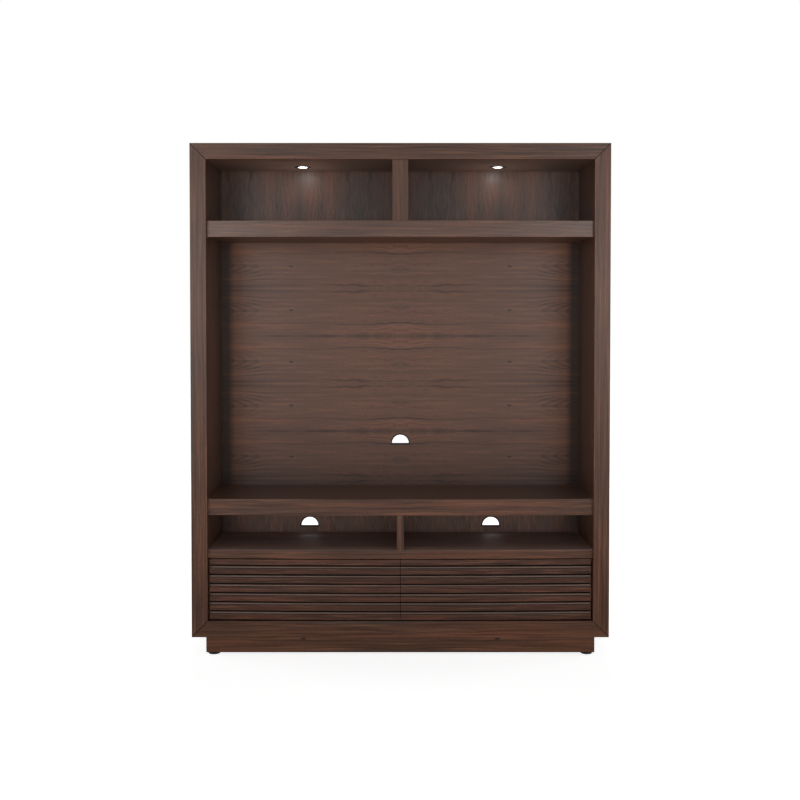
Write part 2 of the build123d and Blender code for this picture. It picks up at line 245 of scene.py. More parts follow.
def pushedOutline(name, points, x0, x1):
    # a bar of one section, drawn at x0 and pushed out to x1
    piece = drawOutline(name, points)
    editWhole(piece)
    bpy.ops.transform.translate(value=(x0, 0, 0))
    bpy.ops.mesh.extrude_region_move(TRANSFORM_OT_translate={"value": (x1 - x0, 0, 0)})
    bpy.ops.mesh.select_all(action="SELECT")
    bpy.ops.mesh.normals_make_consistent(inside=False)
    leaveEdit()
    return piece


def addRoundBar(name, radius, start, end, sides=48):
    # a cylinder between two points that differ along one axis
    deselectAll()
    run = Vector(end) - Vector(start)
    longest = max(range(3), key=lambda i: abs(run[i]))
    turn = [(0, math.pi / 2, 0), (math.pi / 2, 0, 0), (0, 0, 0)][longest]
    middle = (Vector(start) + Vector(end)) / 2
    bpy.ops.mesh.primitive_cylinder_add(
        vertices=sides, radius=radius, depth=run.length, location=middle, rotation=turn)
    piece = bpy.context.object
    piece.name = name
    bpy.ops.object.transform_apply(location=True, rotation=True, scale=True)
    return piece


def joinPieces(pieces, name):
    deselectAll()
    for piece in pieces:
        piece.select_set(True)
    bpy.context.view_layer.objects.active = pieces[0]
    bpy.ops.object.join()
    pieces[0].name = name
    return pieces[0]


def easedCopy(name, node, ease):
    # the machined shape of a CAD node, merged, with its arrises eased
    piece = bpy.data.objects.new(name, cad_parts[node].data.copy())
    bpy.context.scene.collection.objects.link(piece)
    piece.data.materials.clear()
    editWhole(piece)
    bpy.ops.mesh.remove_doubles(threshold=hair)
    bpy.ops.mesh.dissolve_limited(angle_limit=math.radians(2))
    leaveEdit()
    easeAll(piece, ease)
    return piece


def copyPiece(piece, name):
    # a copy with a mesh of its own
    twin = piece.copy()
    twin.data = piece.data.copy()
    twin.name = name
    bpy.context.scene.collection.objects.link(twin)
    return twin


def secondMaterialOn(piece, material, isStained):
    # gives the faces that pass the test a second material
    piece.data.materials.append(material)
    editFaces(piece, isStained)
    piece.active_material_index = len(piece.data.materials) - 1
    bpy.ops.object.material_slot_assign()
    leaveEdit()


def finish(piece, material, body, nodes=(), smooth=30):
    # shading, material, the body it rides on, and the CAD nodes it stands for
    makeActive(piece)
    bpy.ops.object.shade_smooth_by_angle(angle=math.radians(smooth))
    weighNormals(piece)
    if not piece.data.materials:
        piece.data.materials.append(material)
    else:
        piece.data.materials[0] = material
    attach(piece, body)
    if nodes:
        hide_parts(*nodes)
    return piece


# Helpers for materials

mixA, mixB, mixOut = 6, 7, 2  # the colour sockets of a Mix node


def hexColour(code):
    # an sRGB hex colour as the linear colour that a shader takes
    parts = [int(code[i:i + 2], 16) / 255 for i in (1, 3, 5)]
    return (*[p / 12.92 if p <= 0.04045 else ((p + 0.055) / 1.055) ** 2.4 for p in parts], 1)


def grey(value):
    return (value, value, value, 1)


def addNode(tree, kind, settings=None, *inputs):
    # one node, with its settings, colour stops and sockets by name, and then its sockets in order;
    # a word alone is its operation, and a node or a socket given to a socket is linked to it
    node = tree.nodes.new("ShaderNode" + kind)
    settings = {"operation": settings} if isinstance(settings, str) else settings or {}
    for key, value in {**settings, **dict(enumerate(inputs))}.items():
        if key == "stops":
            ramp = node.color_ramp
            ramp.elements.remove(ramp.elements[1])
            ramp.elements[0].position, ramp.elements[0].color = value[0]
            for stop, colour in value[1:]:
                ramp.elements.new(stop).color = colour
        elif isinstance(key, str) and key in node.bl_rna.properties:
            setattr(node, key, value)
        elif isinstance(value, bpy.types.Node):
            tree.links.new(value.outputs[0], node.inputs[key])
        elif isinstance(value, bpy.types.NodeSocket):
            tree.links.new(value, node.inputs[key])
        else:
            node.inputs[key].default_value = value
    return node


def newMaterial(name):
    material = bpy.data.materials.new(name)
    material.use_nodes = True
    material.node_tree.nodes.clear()
    return material, material.node_tree


def closeMaterial(tree, look):
    shader = addNode(tree, "BsdfPrincipled", look)
    addNode(tree, "OutputMaterial", {"Surface": shader})


walnutLook = {
    "heart": "#5c3e2f",      # plain heartwood under satin lacquer
    "warm": "#6e4230",       # reddish bands
    "pale": "#765240",       # lighter bands
    "ash": "#4a3a33",        # grey-brown bands
    "amber": "#8d5f42",      # short bright streaks
    "line": "#20130e",       # dark growth lines and streaks
    "wearAndHighlight": "#86634c",       # arrises: thin lacquer and a painted highlight
    "wearAndHighlightShare": 0.5,             # how much of that shows
    "bandWide": 30,          # width of a colour band across the leaf
    "bandLong": 1100,        # length of a band along the grain
    "waveWide": 70,          # how the grain wanders: width, length and swing of a wave
    "waveLong": 240,
    "waveSwing": 14,
    "lineGap": 17,           # distance between growth lines on straight grain
    "figureLong": 900,       # length of a cathedral
    "figureWide": 140,       # width of a cathedral
    "figureLines": 4,        # growth lines that a cathedral gathers
    "lineDepth": 0.55,       # how dark the growth lines are
    "streakWide": 8,         # amber and dark streaks
    "streakLong": 330,
    "amberDepth": 0.5,
    "darkDepth": 0.5,
    "fibreWide": 2.6,        # fibre streaks, drawn coarser than the real 0.3 mm so that they show
    "fibreLong": 220,
    "fibreTone": 0.2,        # lighter and darker than the band by this share
    "poreWide": 0.8,         # open pores, drawn as wide as they need to show
    "poreLong": 16,
    "poreDepth": 0.45,
    "relief": 0.15,          # depth of the pores and lines under the lacquer
    "gloss": 0.34,
    "sheen": 0.33,           # the thin satin lacquer sends back less than a full coat
}
grainAxes = {"X": (0, 2, 1), "Y": (1, 0, 2), "Z": (2, 0, 1)}  # along, across and into the leaf
bandTones = [(0.28, "ash"), (0.43, "heart"), (0.55, "heart"), (0.63, "warm"), (0.74, "pale")]
# growth rings: soft early wood, dark late wood
ringTones = [(0, 0.35), (0.12, 0), (0.55, 0.1), (0.88, 1), (1, 0.35)]
# where a long dark line is faint
patchLook = {"long": 260, "wide": 40, "least": 0.3, "most": 0.9, "fade": 120}


def walnut(name, grain, look=None, matched=False, leaf=None, knots=None, courses=None):
    # American black walnut veneer, sliced, laid and finished in satin lacquer: growth lines,
    # brown and reddish bands, amber and dark streaks, fibre and open pores that run along the grain
    look = {**walnutLook, **(look or {})}
    line = hexColour(look["line"])
    material, tree = newMaterial(name)
    add = partial(addNode, tree)

    def stretched(field, long, wide, **settings):
        # a noise drawn out along the grain
        spot = add("VectorMath", "MULTIPLY", field, (1 / long, 1 / wide, 1 / wide))
        return add("TexNoise", {"Scale": 1, **settings, "Vector": spot})

    place = add("TexCoord").outputs
    inMillimetres = add("VectorMath", {"operation": "SCALE", "Scale": 1000}, place["Object"])
    spots = list(add("SeparateXYZ", {}, inMillimetres).outputs)
    if matched:  # leaves opened like a book about the middle of the cabinet
        spots[0] = add("Math", "ABSOLUTE", spots[0])
    along, across, deep = [spots[number] for number in grainAxes[grain]]
    if courses:  # each slat is cut from another board, a little lighter or darker
        fromLow = add("Math", "SUBTRACT", across, courses["low"])
        course = add("Math", "DIVIDE", fromLow, courses["pitch"])
        number = add("Math", "FLOOR", course)
        board = add("TexWhiteNoise", {"noise_dimensions": "1D", "W": number})
        along = add("Math", "MULTIPLY_ADD", board, courses["apart"], along)
    if leaf:  # neighbouring leaves are turned over, so the figure is mirrored at each joint
        fromSeam = add("Math", "SUBTRACT", across, leaf["seam"])
        across = add("Math", "PINGPONG", fromSeam, leaf["wide"])

    # the grain wanders a little, and more where the look asks for a wavy figure
    still = add("CombineXYZ", {}, along, across, deep)
    wave = stretched(still, look["waveLong"], look["waveWide"], Detail=1)
    wave = add("Math", "SUBTRACT", wave, 0.5)
    swing = add("Math", "MULTIPLY", wave, look["waveSwing"])
    if "curl" in look:
        curly = look["curl"]
        curl = stretched(still, curly["long"], curly["wide"], Detail=3)
        curl = add("Math", "SUBTRACT", curl, 0.5)
        reach = add("MapRange", {}, along, curly["from"], curly["to"], curly["swing"], 0)
        swing = add("Math", "MULTIPLY_ADD", curl, reach, swing)
    across = add("Math", "ADD", across, swing)
    laid = add("CombineXYZ", {}, along, across, deep)

    # bands of colour
    bands = stretched(
        laid, look["bandLong"], look["bandWide"], Detail=3, Roughness=0.55, Distortion=0.3)
    bandStops = [(stop, hexColour(look[tone])) for stop, tone in bandTones]
    colour = add("ValToRGB", {"stops": bandStops}, bands)

    # growth lines: level lines of a long, smooth field, which close into cathedrals
    figure = stretched(laid, look["figureLong"], look["figureWide"], Detail=1.5, Roughness=0.4)
    if leaf:
        fromHeart = add("Math", "SUBTRACT", across, leaf["heart"])
        squared = add("Math", "MULTIPLY_ADD", fromHeart, fromHeart, leaf["soft"] ** 2)
        spread = add("Math", "SQRT", squared)
        tip = -leaf["toward"] * leaf["tip"]
        pastTip = add("Math", "MULTIPLY_ADD", along, leaf["toward"], tip)
        pull = add("MapRange", {}, spread, leaf["near"], leaf["far"], -leaf["slope"], 0)
        reach = add("Math", "MAXIMUM", pastTip, 0)
        distance = add("Math", "MULTIPLY_ADD", reach, pull, spread)
    else:
        distance = add("Math", "ADD", across, deep)
    straightRings = add("Math", "DIVIDE", distance, look["lineGap"])
    ring = add("Math", "MULTIPLY_ADD", figure, look["figureLines"], straightRings)
    ringStops = [(stop, grey(tone)) for stop, tone in ringTones]
    ringDark = add("ValToRGB", {"stops": ringStops}, add("Math", "FRACT", ring))
    shown = add("MapRange", {}, figure, 0.36, 0.64, 0.08, look["lineDepth"])
    lineAmount = add("Math", "MULTIPLY", ringDark, shown)
    if leaf:  # the straight grain behind the tip shows fainter lines
        behind, ahead = -leaf["blend"], leaf["blend"] / 3
        share = add("MapRange", {}, pastTip, behind, ahead, leaf["straightShare"], 1)
        lineAmount = add("Math", "MULTIPLY", lineAmount, share)

    # each layer is laid over the colour in turn: how it blends, how much of it, and its tint
    layers = [("MIX", lineAmount, line)]
    streak = stretched(laid, look["streakLong"], look["streakWide"], Detail=2.5, Roughness=0.55)
    amberAmount = add("MapRange", {}, streak, 0.53, 0.72, 0, look["amberDepth"])
    darkAmount = add("MapRange", {}, streak, 0.47, 0.29, 0, look["darkDepth"])
    layers += [("MIX", amberAmount, hexColour(look["amber"])), ("MIX", darkAmount, line)]
    if leaf and "darkLines" in leaf:  # the few lines that run right through a leaf
        wide = leaf["lineWide"]
        # the joint itself, a little wider than a line
        lineStops = [(0, grey(leaf["seamDark"])), (wide * 1.4, grey(0))]
        for where in leaf["darkLines"]:
            lineStops += [(where - wide, grey(0)), (where, grey(1)), (where + wide, grey(0))]
        acrossLeaf = add("Math", "DIVIDE", across, leaf["wide"])
        longLines = add("ValToRGB", {"stops": lineStops}, acrossLeaf)
        patches = stretched(still, patchLook["long"], patchLook["wide"], Detail=1)
        patchy = add("MapRange", {}, patches, 0.38, 0.6, patchLook["least"], patchLook["most"])
        lineEnd = leaf["lineEnd"]
        ending = add("MapRange", {}, along, lineEnd, lineEnd - patchLook["fade"], 0, 1)
        faded = add("Math", "MULTIPLY", patchy, ending)
        layers.append(("MIX", add("Math", "MULTIPLY", longLines, faded), line))
    fibre = stretched(laid, look["fibreLong"], look["fibreWide"], Detail=2, Roughness=0.6)
    fibreTone = add("MapRange", {}, fibre, 0.3, 0.7, 1 - look["fibreTone"], 1 + look["fibreTone"])
    layers.append(("MULTIPLY", 1, fibreTone))
    if courses:
        boardTone = add("MapRange", {}, board, 0, 1, courses["darkest"], courses["lightest"])
        layers.append(("MULTIPLY", 1, boardTone))
    pores = stretched(laid, look["poreLong"], look["poreWide"], Detail=1)
    poreAmount = add("MapRange", {}, pores, 0.58, 0.68, 0, look["poreDepth"])
    layers.append(("MIX", poreAmount, line))
    for shadeBand in look.get("corners", ()):  # painted shade: darker bands where the look asks, in the corners and towards the rear of a bay
        lit = add("MapRange", {}, spots[shadeBand["axis"]], shadeBand["from"], shadeBand["to"], 1, shadeBand["left"])
        layers.append(("MULTIPLY", 1, lit))
    if knots:  # small dark pin knots
        knotAlong = add("Math", "SUBTRACT", along, knots["along"])
        knotAcross = add("Math", "SUBTRACT", across, knots["across"])
        fromKnot = add("CombineXYZ", {}, knotAlong, knotAcross)
        knotScale = (1 / knots["long"], 1 / knots["wide"], 1)
        inKnot = add("VectorMath", "MULTIPLY", fromKnot, knotScale)
        knotSize = add("VectorMath", "LENGTH", inKnot).outputs["Value"]
        layers.append(("MIX", add("MapRange", {}, knotSize, 0.5, 1.4, 0.85, 0), line))

    # lighter arrises, partly thin lacquer and partly painted highlight, on the faces that look along
    # no axis
    facing = add("VectorMath", "ABSOLUTE", place["Normal"])
    parts = add("SeparateXYZ", {}, facing).outputs
    level = add("Math", "MAXIMUM", parts[0], parts[1])
    straight = add("Math", "MAXIMUM", level, parts[2])
    wearAndHighlight = add("MapRange", {}, straight, 0.985, 0.8, 0, look["wearAndHighlightShare"])
    layers.append(("MIX", wearAndHighlight, hexColour(look["wearAndHighlight"])))

    for blend, amount, tint in layers:
        settings = {"data_type": "RGBA", "blend_type": blend, 0: amount, mixA: colour, mixB: tint}
        colour = add("Mix", settings).outputs[mixOut]
    relief = add("Math", "ADD", poreAmount, lineAmount)
    bump = add("Bump", {
        "invert": True, "Strength": 0.35, "Distance": mm(look["relief"]), "Height": relief,
    })
    closeMaterial(tree, {
        "IOR": 1.5, "Specular IOR Level": look["sheen"], "Base Color": colour, "Normal": bump,
        "Roughness": add("MapRange", {}, fibre, 0, 1, look["gloss"] - 0.05, look["gloss"] + 0.07),
    })
    return material


paleLook = {"long": 625, "wide": 25, "fleck": 12, "relief": 0.1}


def paleWood(name, grain, light, mid, dark, gloss):
    # close-grained pale timber: faint growth lines and short flecks along the grain
    material, tree = newMaterial(name)
    add = partial(addNode, tree)
    scale = [1000 / paleLook["long" if axis == grain else "wide"] for axis in "XYZ"]
    laid = add("VectorMath", "MULTIPLY", add("TexCoord").outputs["Object"], scale)
    bands = add("TexNoise", {
        "Scale": 1, "Detail": 5, "Roughness": 0.6, "Distortion": 0.4, "Vector": laid,
    })
    stops = [(0.3, hexColour(dark)), (0.48, hexColour(mid)), (0.68, hexColour(light))]
    colour = add("ValToRGB", {"stops": stops}, bands)
    fleckPlace = add("VectorMath", {"operation": "SCALE", "Scale": paleLook["fleck"]}, laid)
    flecks = add("TexNoise", {"Scale": 1, "Detail": 2, "Vector": fleckPlace})
    fleckTone = add("MapRange", {}, flecks, 0.3, 0.7, 0.92, 1.06)
    toned = add("Mix", {
        "data_type": "RGBA", "blend_type": "MULTIPLY", 0: 1, mixA: colour, mixB: fleckTone,
    })
    relief = mm(paleLook["relief"])
    closeMaterial(tree, {
        "IOR": 1.5, "Base Color": toned.outputs[mixOut],
        "Roughness": add("MapRange", {}, flecks, 0, 1, gloss - 0.05, gloss + 0.1),
        "Normal": add("Bump", {"Strength": 0.2, "Distance": relief, "Height": flecks}),
    })
    return material


metalLook = {"run": 12, "relief": 0.05}  # run: how often a brushed line changes in a metre


def metal(name, light, dark, gloss, mottle, lines):
    # bare or plated metal: mottled tone, and rolling or brushing lines along Y
    material, tree = newMaterial(name)
    add = partial(addNode, tree)
    place = add("TexCoord").outputs["Object"]
    patchPlace = add("VectorMath", {"operation": "SCALE", "Scale": 1000 / mottle}, place)
    patches = add("TexNoise", {"Scale": 1, "Detail": 4, "Vector": patchPlace})
    stops = [(0.35, hexColour(dark)), (0.65, hexColour(light))]
    colour = add("ValToRGB", {"stops": stops}, patches)
    drawn = (1000 / lines, metalLook["run"], 1000 / lines)
    linePlace = add("VectorMath", "MULTIPLY", place, drawn)
    brushed = add("TexNoise", {"Scale": 1, "Detail": 2, "Vector": linePlace})
    relief = mm(metalLook["relief"])
    closeMaterial(tree, {
        "Metallic": 1, "Base Color": colour,
        "Roughness": add("MapRange", {}, brushed, 0, 1, gloss - 0.08, gloss + 0.12),
        "Normal": add("Bump", {"Strength": 0.15, "Distance": relief, "Height": brushed}),
    })
    return material


plasticLook = {"relief": 0.08}


def plastic(name, light, dark, gloss, grainSize, scuffSize):
    # moulded plastic: fine spark-eroded grain, with paler scuffs
    material, tree = newMaterial(name)
    add = partial(addNode, tree)
    place = add("TexCoord").outputs["Object"]
    scuffPlace = add("VectorMath", {"operation": "SCALE", "Scale": 1000 / scuffSize}, place)
    scuffs = add("TexNoise", {"Scale": 1, "Detail": 5, "Roughness": 0.65, "Vector": scuffPlace})
    stops = [(0.4, hexColour(dark)), (0.75, hexColour(light))]
    colour = add("ValToRGB", {"stops": stops}, scuffs)
    grainPlace = add("VectorMath", {"operation": "SCALE", "Scale": 1000 / grainSize}, place)
    sparkGrain = add("TexVoronoi", {"Scale": 1, "Vector": grainPlace})
    relief = mm(plasticLook["relief"])
    closeMaterial(tree, {
        "IOR": 1.53, "Base Color": colour,
        "Roughness": add("MapRange", {}, scuffs, 0, 1, gloss - 0.06, gloss + 0.12),
        "Normal": add("Bump", {"Strength": 0.25, "Distance": relief, "Height": sparkGrain}),
    })
    return material


# The finishes of the cabinet

# a leaf of veneer: its joint and width, the heart and tip of its cathedral, which way the
# cathedral opens and how steeply, and the few long dark lines as shares of its width
tvLeaf = {
    "seam": 1741, "wide": 213, "heart": 113, "soft": 6, "tip": 610, "toward": 1, "slope": 0.5,
    "near": 25, "far": 75, "straightShare": 0.4, "blend": 60,
    "darkLines": [0.26, 0.93], "lineWide": 0.03, "seamDark": 0.9, "lineEnd": 680,
}
displayLeaf = {
    "seam": 450, "wide": 266, "heart": 115, "soft": 12, "tip": 1970, "toward": -1, "slope": 0.42,
    "near": 90, "far": 180, "straightShare": 1, "blend": 60,
    "darkLines": [0.81], "lineWide": 0.05, "seamDark": 0.7, "lineEnd": 2300,
}
mediaLeaf = {
    "seam": 450, "wide": 266, "heart": 115, "soft": 12, "tip": 565, "toward": -1, "slope": 0.3,
    "near": 90, "far": 180, "straightShare": 1, "blend": 60,
}
tvBackLook = {
    "ash": "#583f31", "heart": "#6d4530", "warm": "#7f4c31", "pale": "#916545", "amber": "#a86d44",
    "lineGap": 26, "lineDepth": 0.6, "figureLines": 2.2, "streakLong": 300, "streakWide": 13,
    "amberDepth": 0.24, "darkDepth": 0.2, "bandWide": 62, "bandLong": 900, "sheen": 0.35,
    "curl": {"long": 90, "wide": 34, "from": 60, "to": 460, "swing": 42},
    # painted shade: darker at both ends of the back and towards its bottom
    "corners": [
        {"axis": 0, "from": 738, "to": 768, "left": 0.22},
        {"axis": 2, "from": 1000, "to": 650, "left": 0.6},
    ],
}
displayLook = {
    "bandWide": 56, "bandLong": 900, "streakLong": 80, "streakWide": 9, "amberDepth": 0.34,
    "darkDepth": 0.55, "lineDepth": 0.3, "waveSwing": 26, "waveLong": 110, "waveWide": 45,
}
# the media back carries painted shade towards both its ends
mediaLook = {
    **displayLook, "sheen": 0.4, "corners": [{"axis": 0, "from": 690, "to": 800, "left": 0.4}],
}
# painted shade: the inner walls darker towards the rear
innerWallLook = {"corners": [{"axis": 1, "from": 20, "to": 205, "left": 0.6}]}
# the deck's top: lighter than the plain veneer as painted light, and duller
litTopLook = {
    "ash": "#79655b", "heart": "#8f6a58", "warm": "#9d6d56", "pale": "#a7826a",
    "gloss": 0.62, "sheen": 0.95,
}
# the TV shelf: darker than the plain veneer as painted shade
shadedShelfTopLook = {
    "ash": "#483832", "heart": "#5a3f33", "warm": "#684233", "pale": "#6f5143", "sheen": 0.3,
}
levelFrameLook = {"heart": "#5d3c2b", "warm": "#6f412c", "pale": "#78503b", "sheen": 0.3}
uprightFrameLook = {"heart": "#603d2b", "warm": "#72412c", "pale": "#7a513b", "sheen": 0.3}
levelLook = {"ash": "#524039", "heart": "#65473a", "warm": "#754b39", "pale": "#7d5b4a"}
# ceiling: a greyer, cooler copy as painted lamplight
ceilingLampLitTones = {"ash": "#564b47", "heart": "#695247", "warm": "#7b5847", "pale": "#836a5b"}
# slat faces darker than the plain veneer as painted shade, and their sloping ledges lighter as
# painted highlight
slatShadedTimber = {
    "ash": "#49342b", "heart": "#543427", "warm": "#633929", "pale": "#714936", "amber": "#8b6045",
    "wearAndHighlight": "#8c7466", "sheen": 0.25,
    "bandWide": 16, "bandLong": 420, "streakLong": 240, "streakWide": 6,
}
# near-black copy of the veneer: painted shade in the slat grooves and the drawer gap, and the dark
# mitre lines and cable-hole edges
grooveShadeAndStain = {
    "ash": "#120c09", "heart": "#140c08", "warm": "#180e0a", "pale": "#1a110d", "amber": "#22150e",
    "wearAndHighlight": "#22150e", "gloss": 0.7, "sheen": 0.12,
}
pinKnot = {"along": 488, "across": 115, "long": 11, "wide": 4}
plinthKnot = {"along": 402, "across": 67, "long": 12, "wide": 5}
slatCourses = {"low": 147, "pitch": 38, "apart": 4000, "darkest": 0.86, "lightest": 1.12}

# the frame and the plinth: solid lippings, plain grain along each member
walnutUprightFrame = walnut("walnutUprightFrame", "Z", uprightFrameLook)
walnutLevelFrame = walnut("walnutLevelFrame", "X", levelFrameLook)
walnutEdge = walnut("walnutEdge", "X", {**levelFrameLook, "sheen": 0.41, "ash": "#514038"})
walnutPlinth = walnut("walnutPlinth", "X", levelFrameLook, matched=True, knots=plinthKnot)
walnutPlinthSide = walnut("walnutPlinthSide", "Y", levelFrameLook)
# carcass veneers: deck top duller and lighter with painted light, TV shelf darker with painted shade,
# ceiling greyer with painted lamplight, inner walls with painted shade towards the rear
walnutUpright = walnut("walnutUpright", "Z")
walnutInnerWall = walnut("walnutInnerWall", "Z", innerWallLook)
walnutLevel = walnut("walnutLevel", "X", levelLook)
walnutCeiling = walnut("walnutCeiling", "X", ceilingLampLitTones)
walnutTops = walnut("walnutTops", "X", litTopLook)
walnutShelfTop = walnut("walnutShelfTop", "X", shadedShelfTopLook)
# back panels: book-matched leaves with cathedrals, dark lines and pin knots; painted shade towards
# the ends of the TV and media backs and the bottom of the TV back
walnutTvBack = walnut("walnutTvBack", "X", tvBackLook, matched=True, leaf=tvLeaf, knots=pinKnot)
walnutDisplayBack = walnut("walnutDisplayBack", "Z", displayLook, matched=True, leaf=displayLeaf)
walnutMediaBack = walnut("walnutMediaBack", "Z", mediaLook, matched=True, leaf=mediaLeaf)
# slats: each course from another board, with painted shade on the faces; the grooves get a near-black
# copy as painted shade
walnutSlats = walnut("walnutSlats", "X", slatShadedTimber, courses=slatCourses)
walnutShadeAndStain = walnut("walnutShadeAndStain", "X", grooveShadeAndStain, courses=slatCourses)
# maple plywood under clear lacquer, creamy and even; poplar left bare, greenish and dull
mapleAlong = paleWood("mapleAlong", "Y", "#d9bd93", "#cbab7e", "#b8956a", 0.4)
mapleAcross = paleWood("mapleAcross", "X", "#d9bd93", "#cbab7e", "#b8956a", 0.4)
poplar = paleWood("poplar", "X", "#c9b48a", "#b8a077", "#98855f", 0.6)
# zinc-plated rolled steel is cool and faintly mottled; brushed nickel warmer; spun aluminium pale
# and soft; blackened steel dark with a dull shine
zincSteel = metal("zincSteel", "#c4c7ca", "#9fa3a8", 0.34, 6, 1.5)
brushedNickel = metal("brushedNickel", "#c6c2bb", "#a3a099", 0.26, 9, 0.6)
spunAluminium = metal("spunAluminium", "#cfd0d2", "#b4b6b9", 0.38, 8, 0.8)
blackSteel = metal("blackSteel", "#3a3836", "#232221", 0.42, 4, 1)
# moulded nylon and ABS are off-black with a fine grain; the sheath is smoother; the board is white
blackNylon = plastic("blackNylon", "#2e2e2e", "#151515", 0.48, 0.6, 9)
blackMoulding = plastic("blackMoulding", "#333333", "#1c1c1c", 0.5, 0.7, 14)
vinylSheath = plastic("vinylSheath", "#2b2b2b", "#171717", 0.4, 0.5, 20)
whiteLaminate = plastic("whiteLaminate", "#e9e8e0", "#d8d7cc", 0.35, 1.2, 5)

lensLook = {"shade": "#eaeef2", "bright": "#f8fbff", "glow": 24, "frost": 1.4, "relief": 0.1}


def frostedLens():
    # frosted acrylic lit from behind: an even, cool white glow with a fine haze
    material, tree = newMaterial("frostedLens")
    add = partial(addNode, tree)
    place = add("TexCoord").outputs["Object"]
    inMillimetres = add("VectorMath", {"operation": "SCALE", "Scale": 1000}, place)
    frost = add("TexNoise", {"Scale": lensLook["frost"], "Detail": 3, "Vector": inMillimetres})
    stops = [(0.3, hexColour(lensLook["shade"])), (0.7, hexColour(lensLook["bright"]))]
    tint = add("ValToRGB", {"stops": stops}, frost)
    relief = mm(lensLook["relief"])
    closeMaterial(tree, {
        "IOR": 1.49, "Base Color": tint,
        "Emission Color": tint, "Emission Strength": lensLook["glow"],
        "Roughness": add("MapRange", {}, frost, 0, 1, 0.35, 0.6),
        "Normal": add("Bump", {"Strength": 0.2, "Distance": relief, "Height": frost}),
    })
    return material


lensGlow = frostedLens()
print("materials ready:", len(bpy.data.materials))


# Frame, and the outer sides, top and bottom: rings of four boards, mitred at the corners

frameLook = {"ease": 1.5, "easeSteps": 3, "seamEase": 1.3}
skinLook = {"ease": 0.4, "easeSteps": 1, "seamEase": 0.3}


def isSeamFace(center, normal):
    # the chamfer of a mitre looks forward and equally sideways and up or down
    return -0.9 < normal.y < -0.3 and abs(abs(normal.x) - abs(normal.z)) < 0.1


def mitredRing(names, nodes, look, materials):
    # two sides, a top and a bottom cut at 45 degrees, in the order of the names
    lowCorner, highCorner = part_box(nodes[0])[0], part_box(nodes[1])[1]
    left, right, bottom, top = lowCorner.x, highCorner.x, lowCorner.z, highCorner.z
    cuts = [
        [((left, top), (1, 1)), ((left, bottom), (1, -1))],
        [((right, top), (-1, 1)), ((right, bottom), (-1, -1))],
        [((left, top), (-1, -1)), ((right, top), (1, -1))],
        [((left, bottom), (-1, 1)), ((right, bottom), (1, 1))],
    ]
    for number, (name, node) in enumerate(zip(names, nodes)):
        piece = nodeBlock(name, node)
        for (x, z), (awayX, awayZ) in cuts[number]:
            sawOff(piece, (x, 0, z), (awayX, 0, awayZ))
        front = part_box(node)[0].y
        longAxis = 2 if number < 2 else 0
        shortAxis = 2 - longAxis

        def isFront(a, b):
            return near(a.y, front) and near(b.y, front)

        def isSeam(a, b):
            return isFront(a, b) and abs(a[shortAxis] - b[shortAxis]) > mm(5)

        def isLong(a, b):
            return isFront(a, b) and near(a[shortAxis], b[shortAxis])

        easeEdges(piece, look["seamEase"], 1, isSeam)
        easeEdges(piece, look["ease"], look["easeSteps"], isLong)
        finish(piece, materials[longAxis], "cabinet", [node])
        secondMaterialOn(piece, walnutShadeAndStain, isSeamFace)  # the fine dark line where a mitre closes


mitredRing(
    ["frame_post_left", "frame_post_right", "frame_rail_top", "frame_rail_bottom"],
    ["left_post", "right_post", "top_rail", "bottom_rail"],
    frameLook, {2: walnutUprightFrame, 0: walnutLevelFrame},
)
print("frame made")
mitredRing(
    ["skin_left", "skin_right", "skin_top", "skin_bottom"],
    ["left_side_panel", "right_side_panel", "top_panel", "bottom_panel"],
    skinLook, {2: walnutUpright, 0: walnutLevel},
)


# Carcass boards

boardLook = {"ease": 0.6, "dividerEase": 1.2}


def plainBoard(name, node, material, ease=boardLook["ease"]):
    piece = nodeBlock(name, node)
    easeAll(piece, ease)
    return finish(piece, material, "cabinet", [node])


plainBoard("inner_wall_left", "left_inner_wall", walnutInnerWall)
plainBoard("inner_wall_right", "right_inner_wall", walnutInnerWall)
partition = plainBoard("partition_board", "drawer_partition", walnutUpright)
# painted shade: its front edge is dark, as in the gap between the drawers
secondMaterialOn(partition, walnutShadeAndStain, lambda center, normal: normal.y < -0.5)
for name, node in (("divider_display", "display_divider"), ("divider_media", "media_divider")):
    plainBoard(name, node, walnutUprightFrame, boardLook["dividerEase"])
plainBoard("plinth_rear", "plinth_back", poplar)
print("carcass boards made")


# Back panels, with half-round cable holes and the inlet's round one

holeLook = {"radius": 37.5, "ease": 0.5, "rim": 5, "rimDeep": 0.8, "tvHigh": 187, "mediaHigh": 29}
inletHoleLook = {"radius": 8.3, "ease": 0.5}


def halfRoundCutter(x, z, y0, y1, grow=0):
    # an upright half disc that lies along Y, flat side down
    cutter = addRoundBar("cutter", mm(holeLook["radius"] + grow), (x, y0, z), (x, y1, z), 64)
    sawOff(cutter, (x, 0, z - mm(grow)), (0, 0, -1))
    return cutter


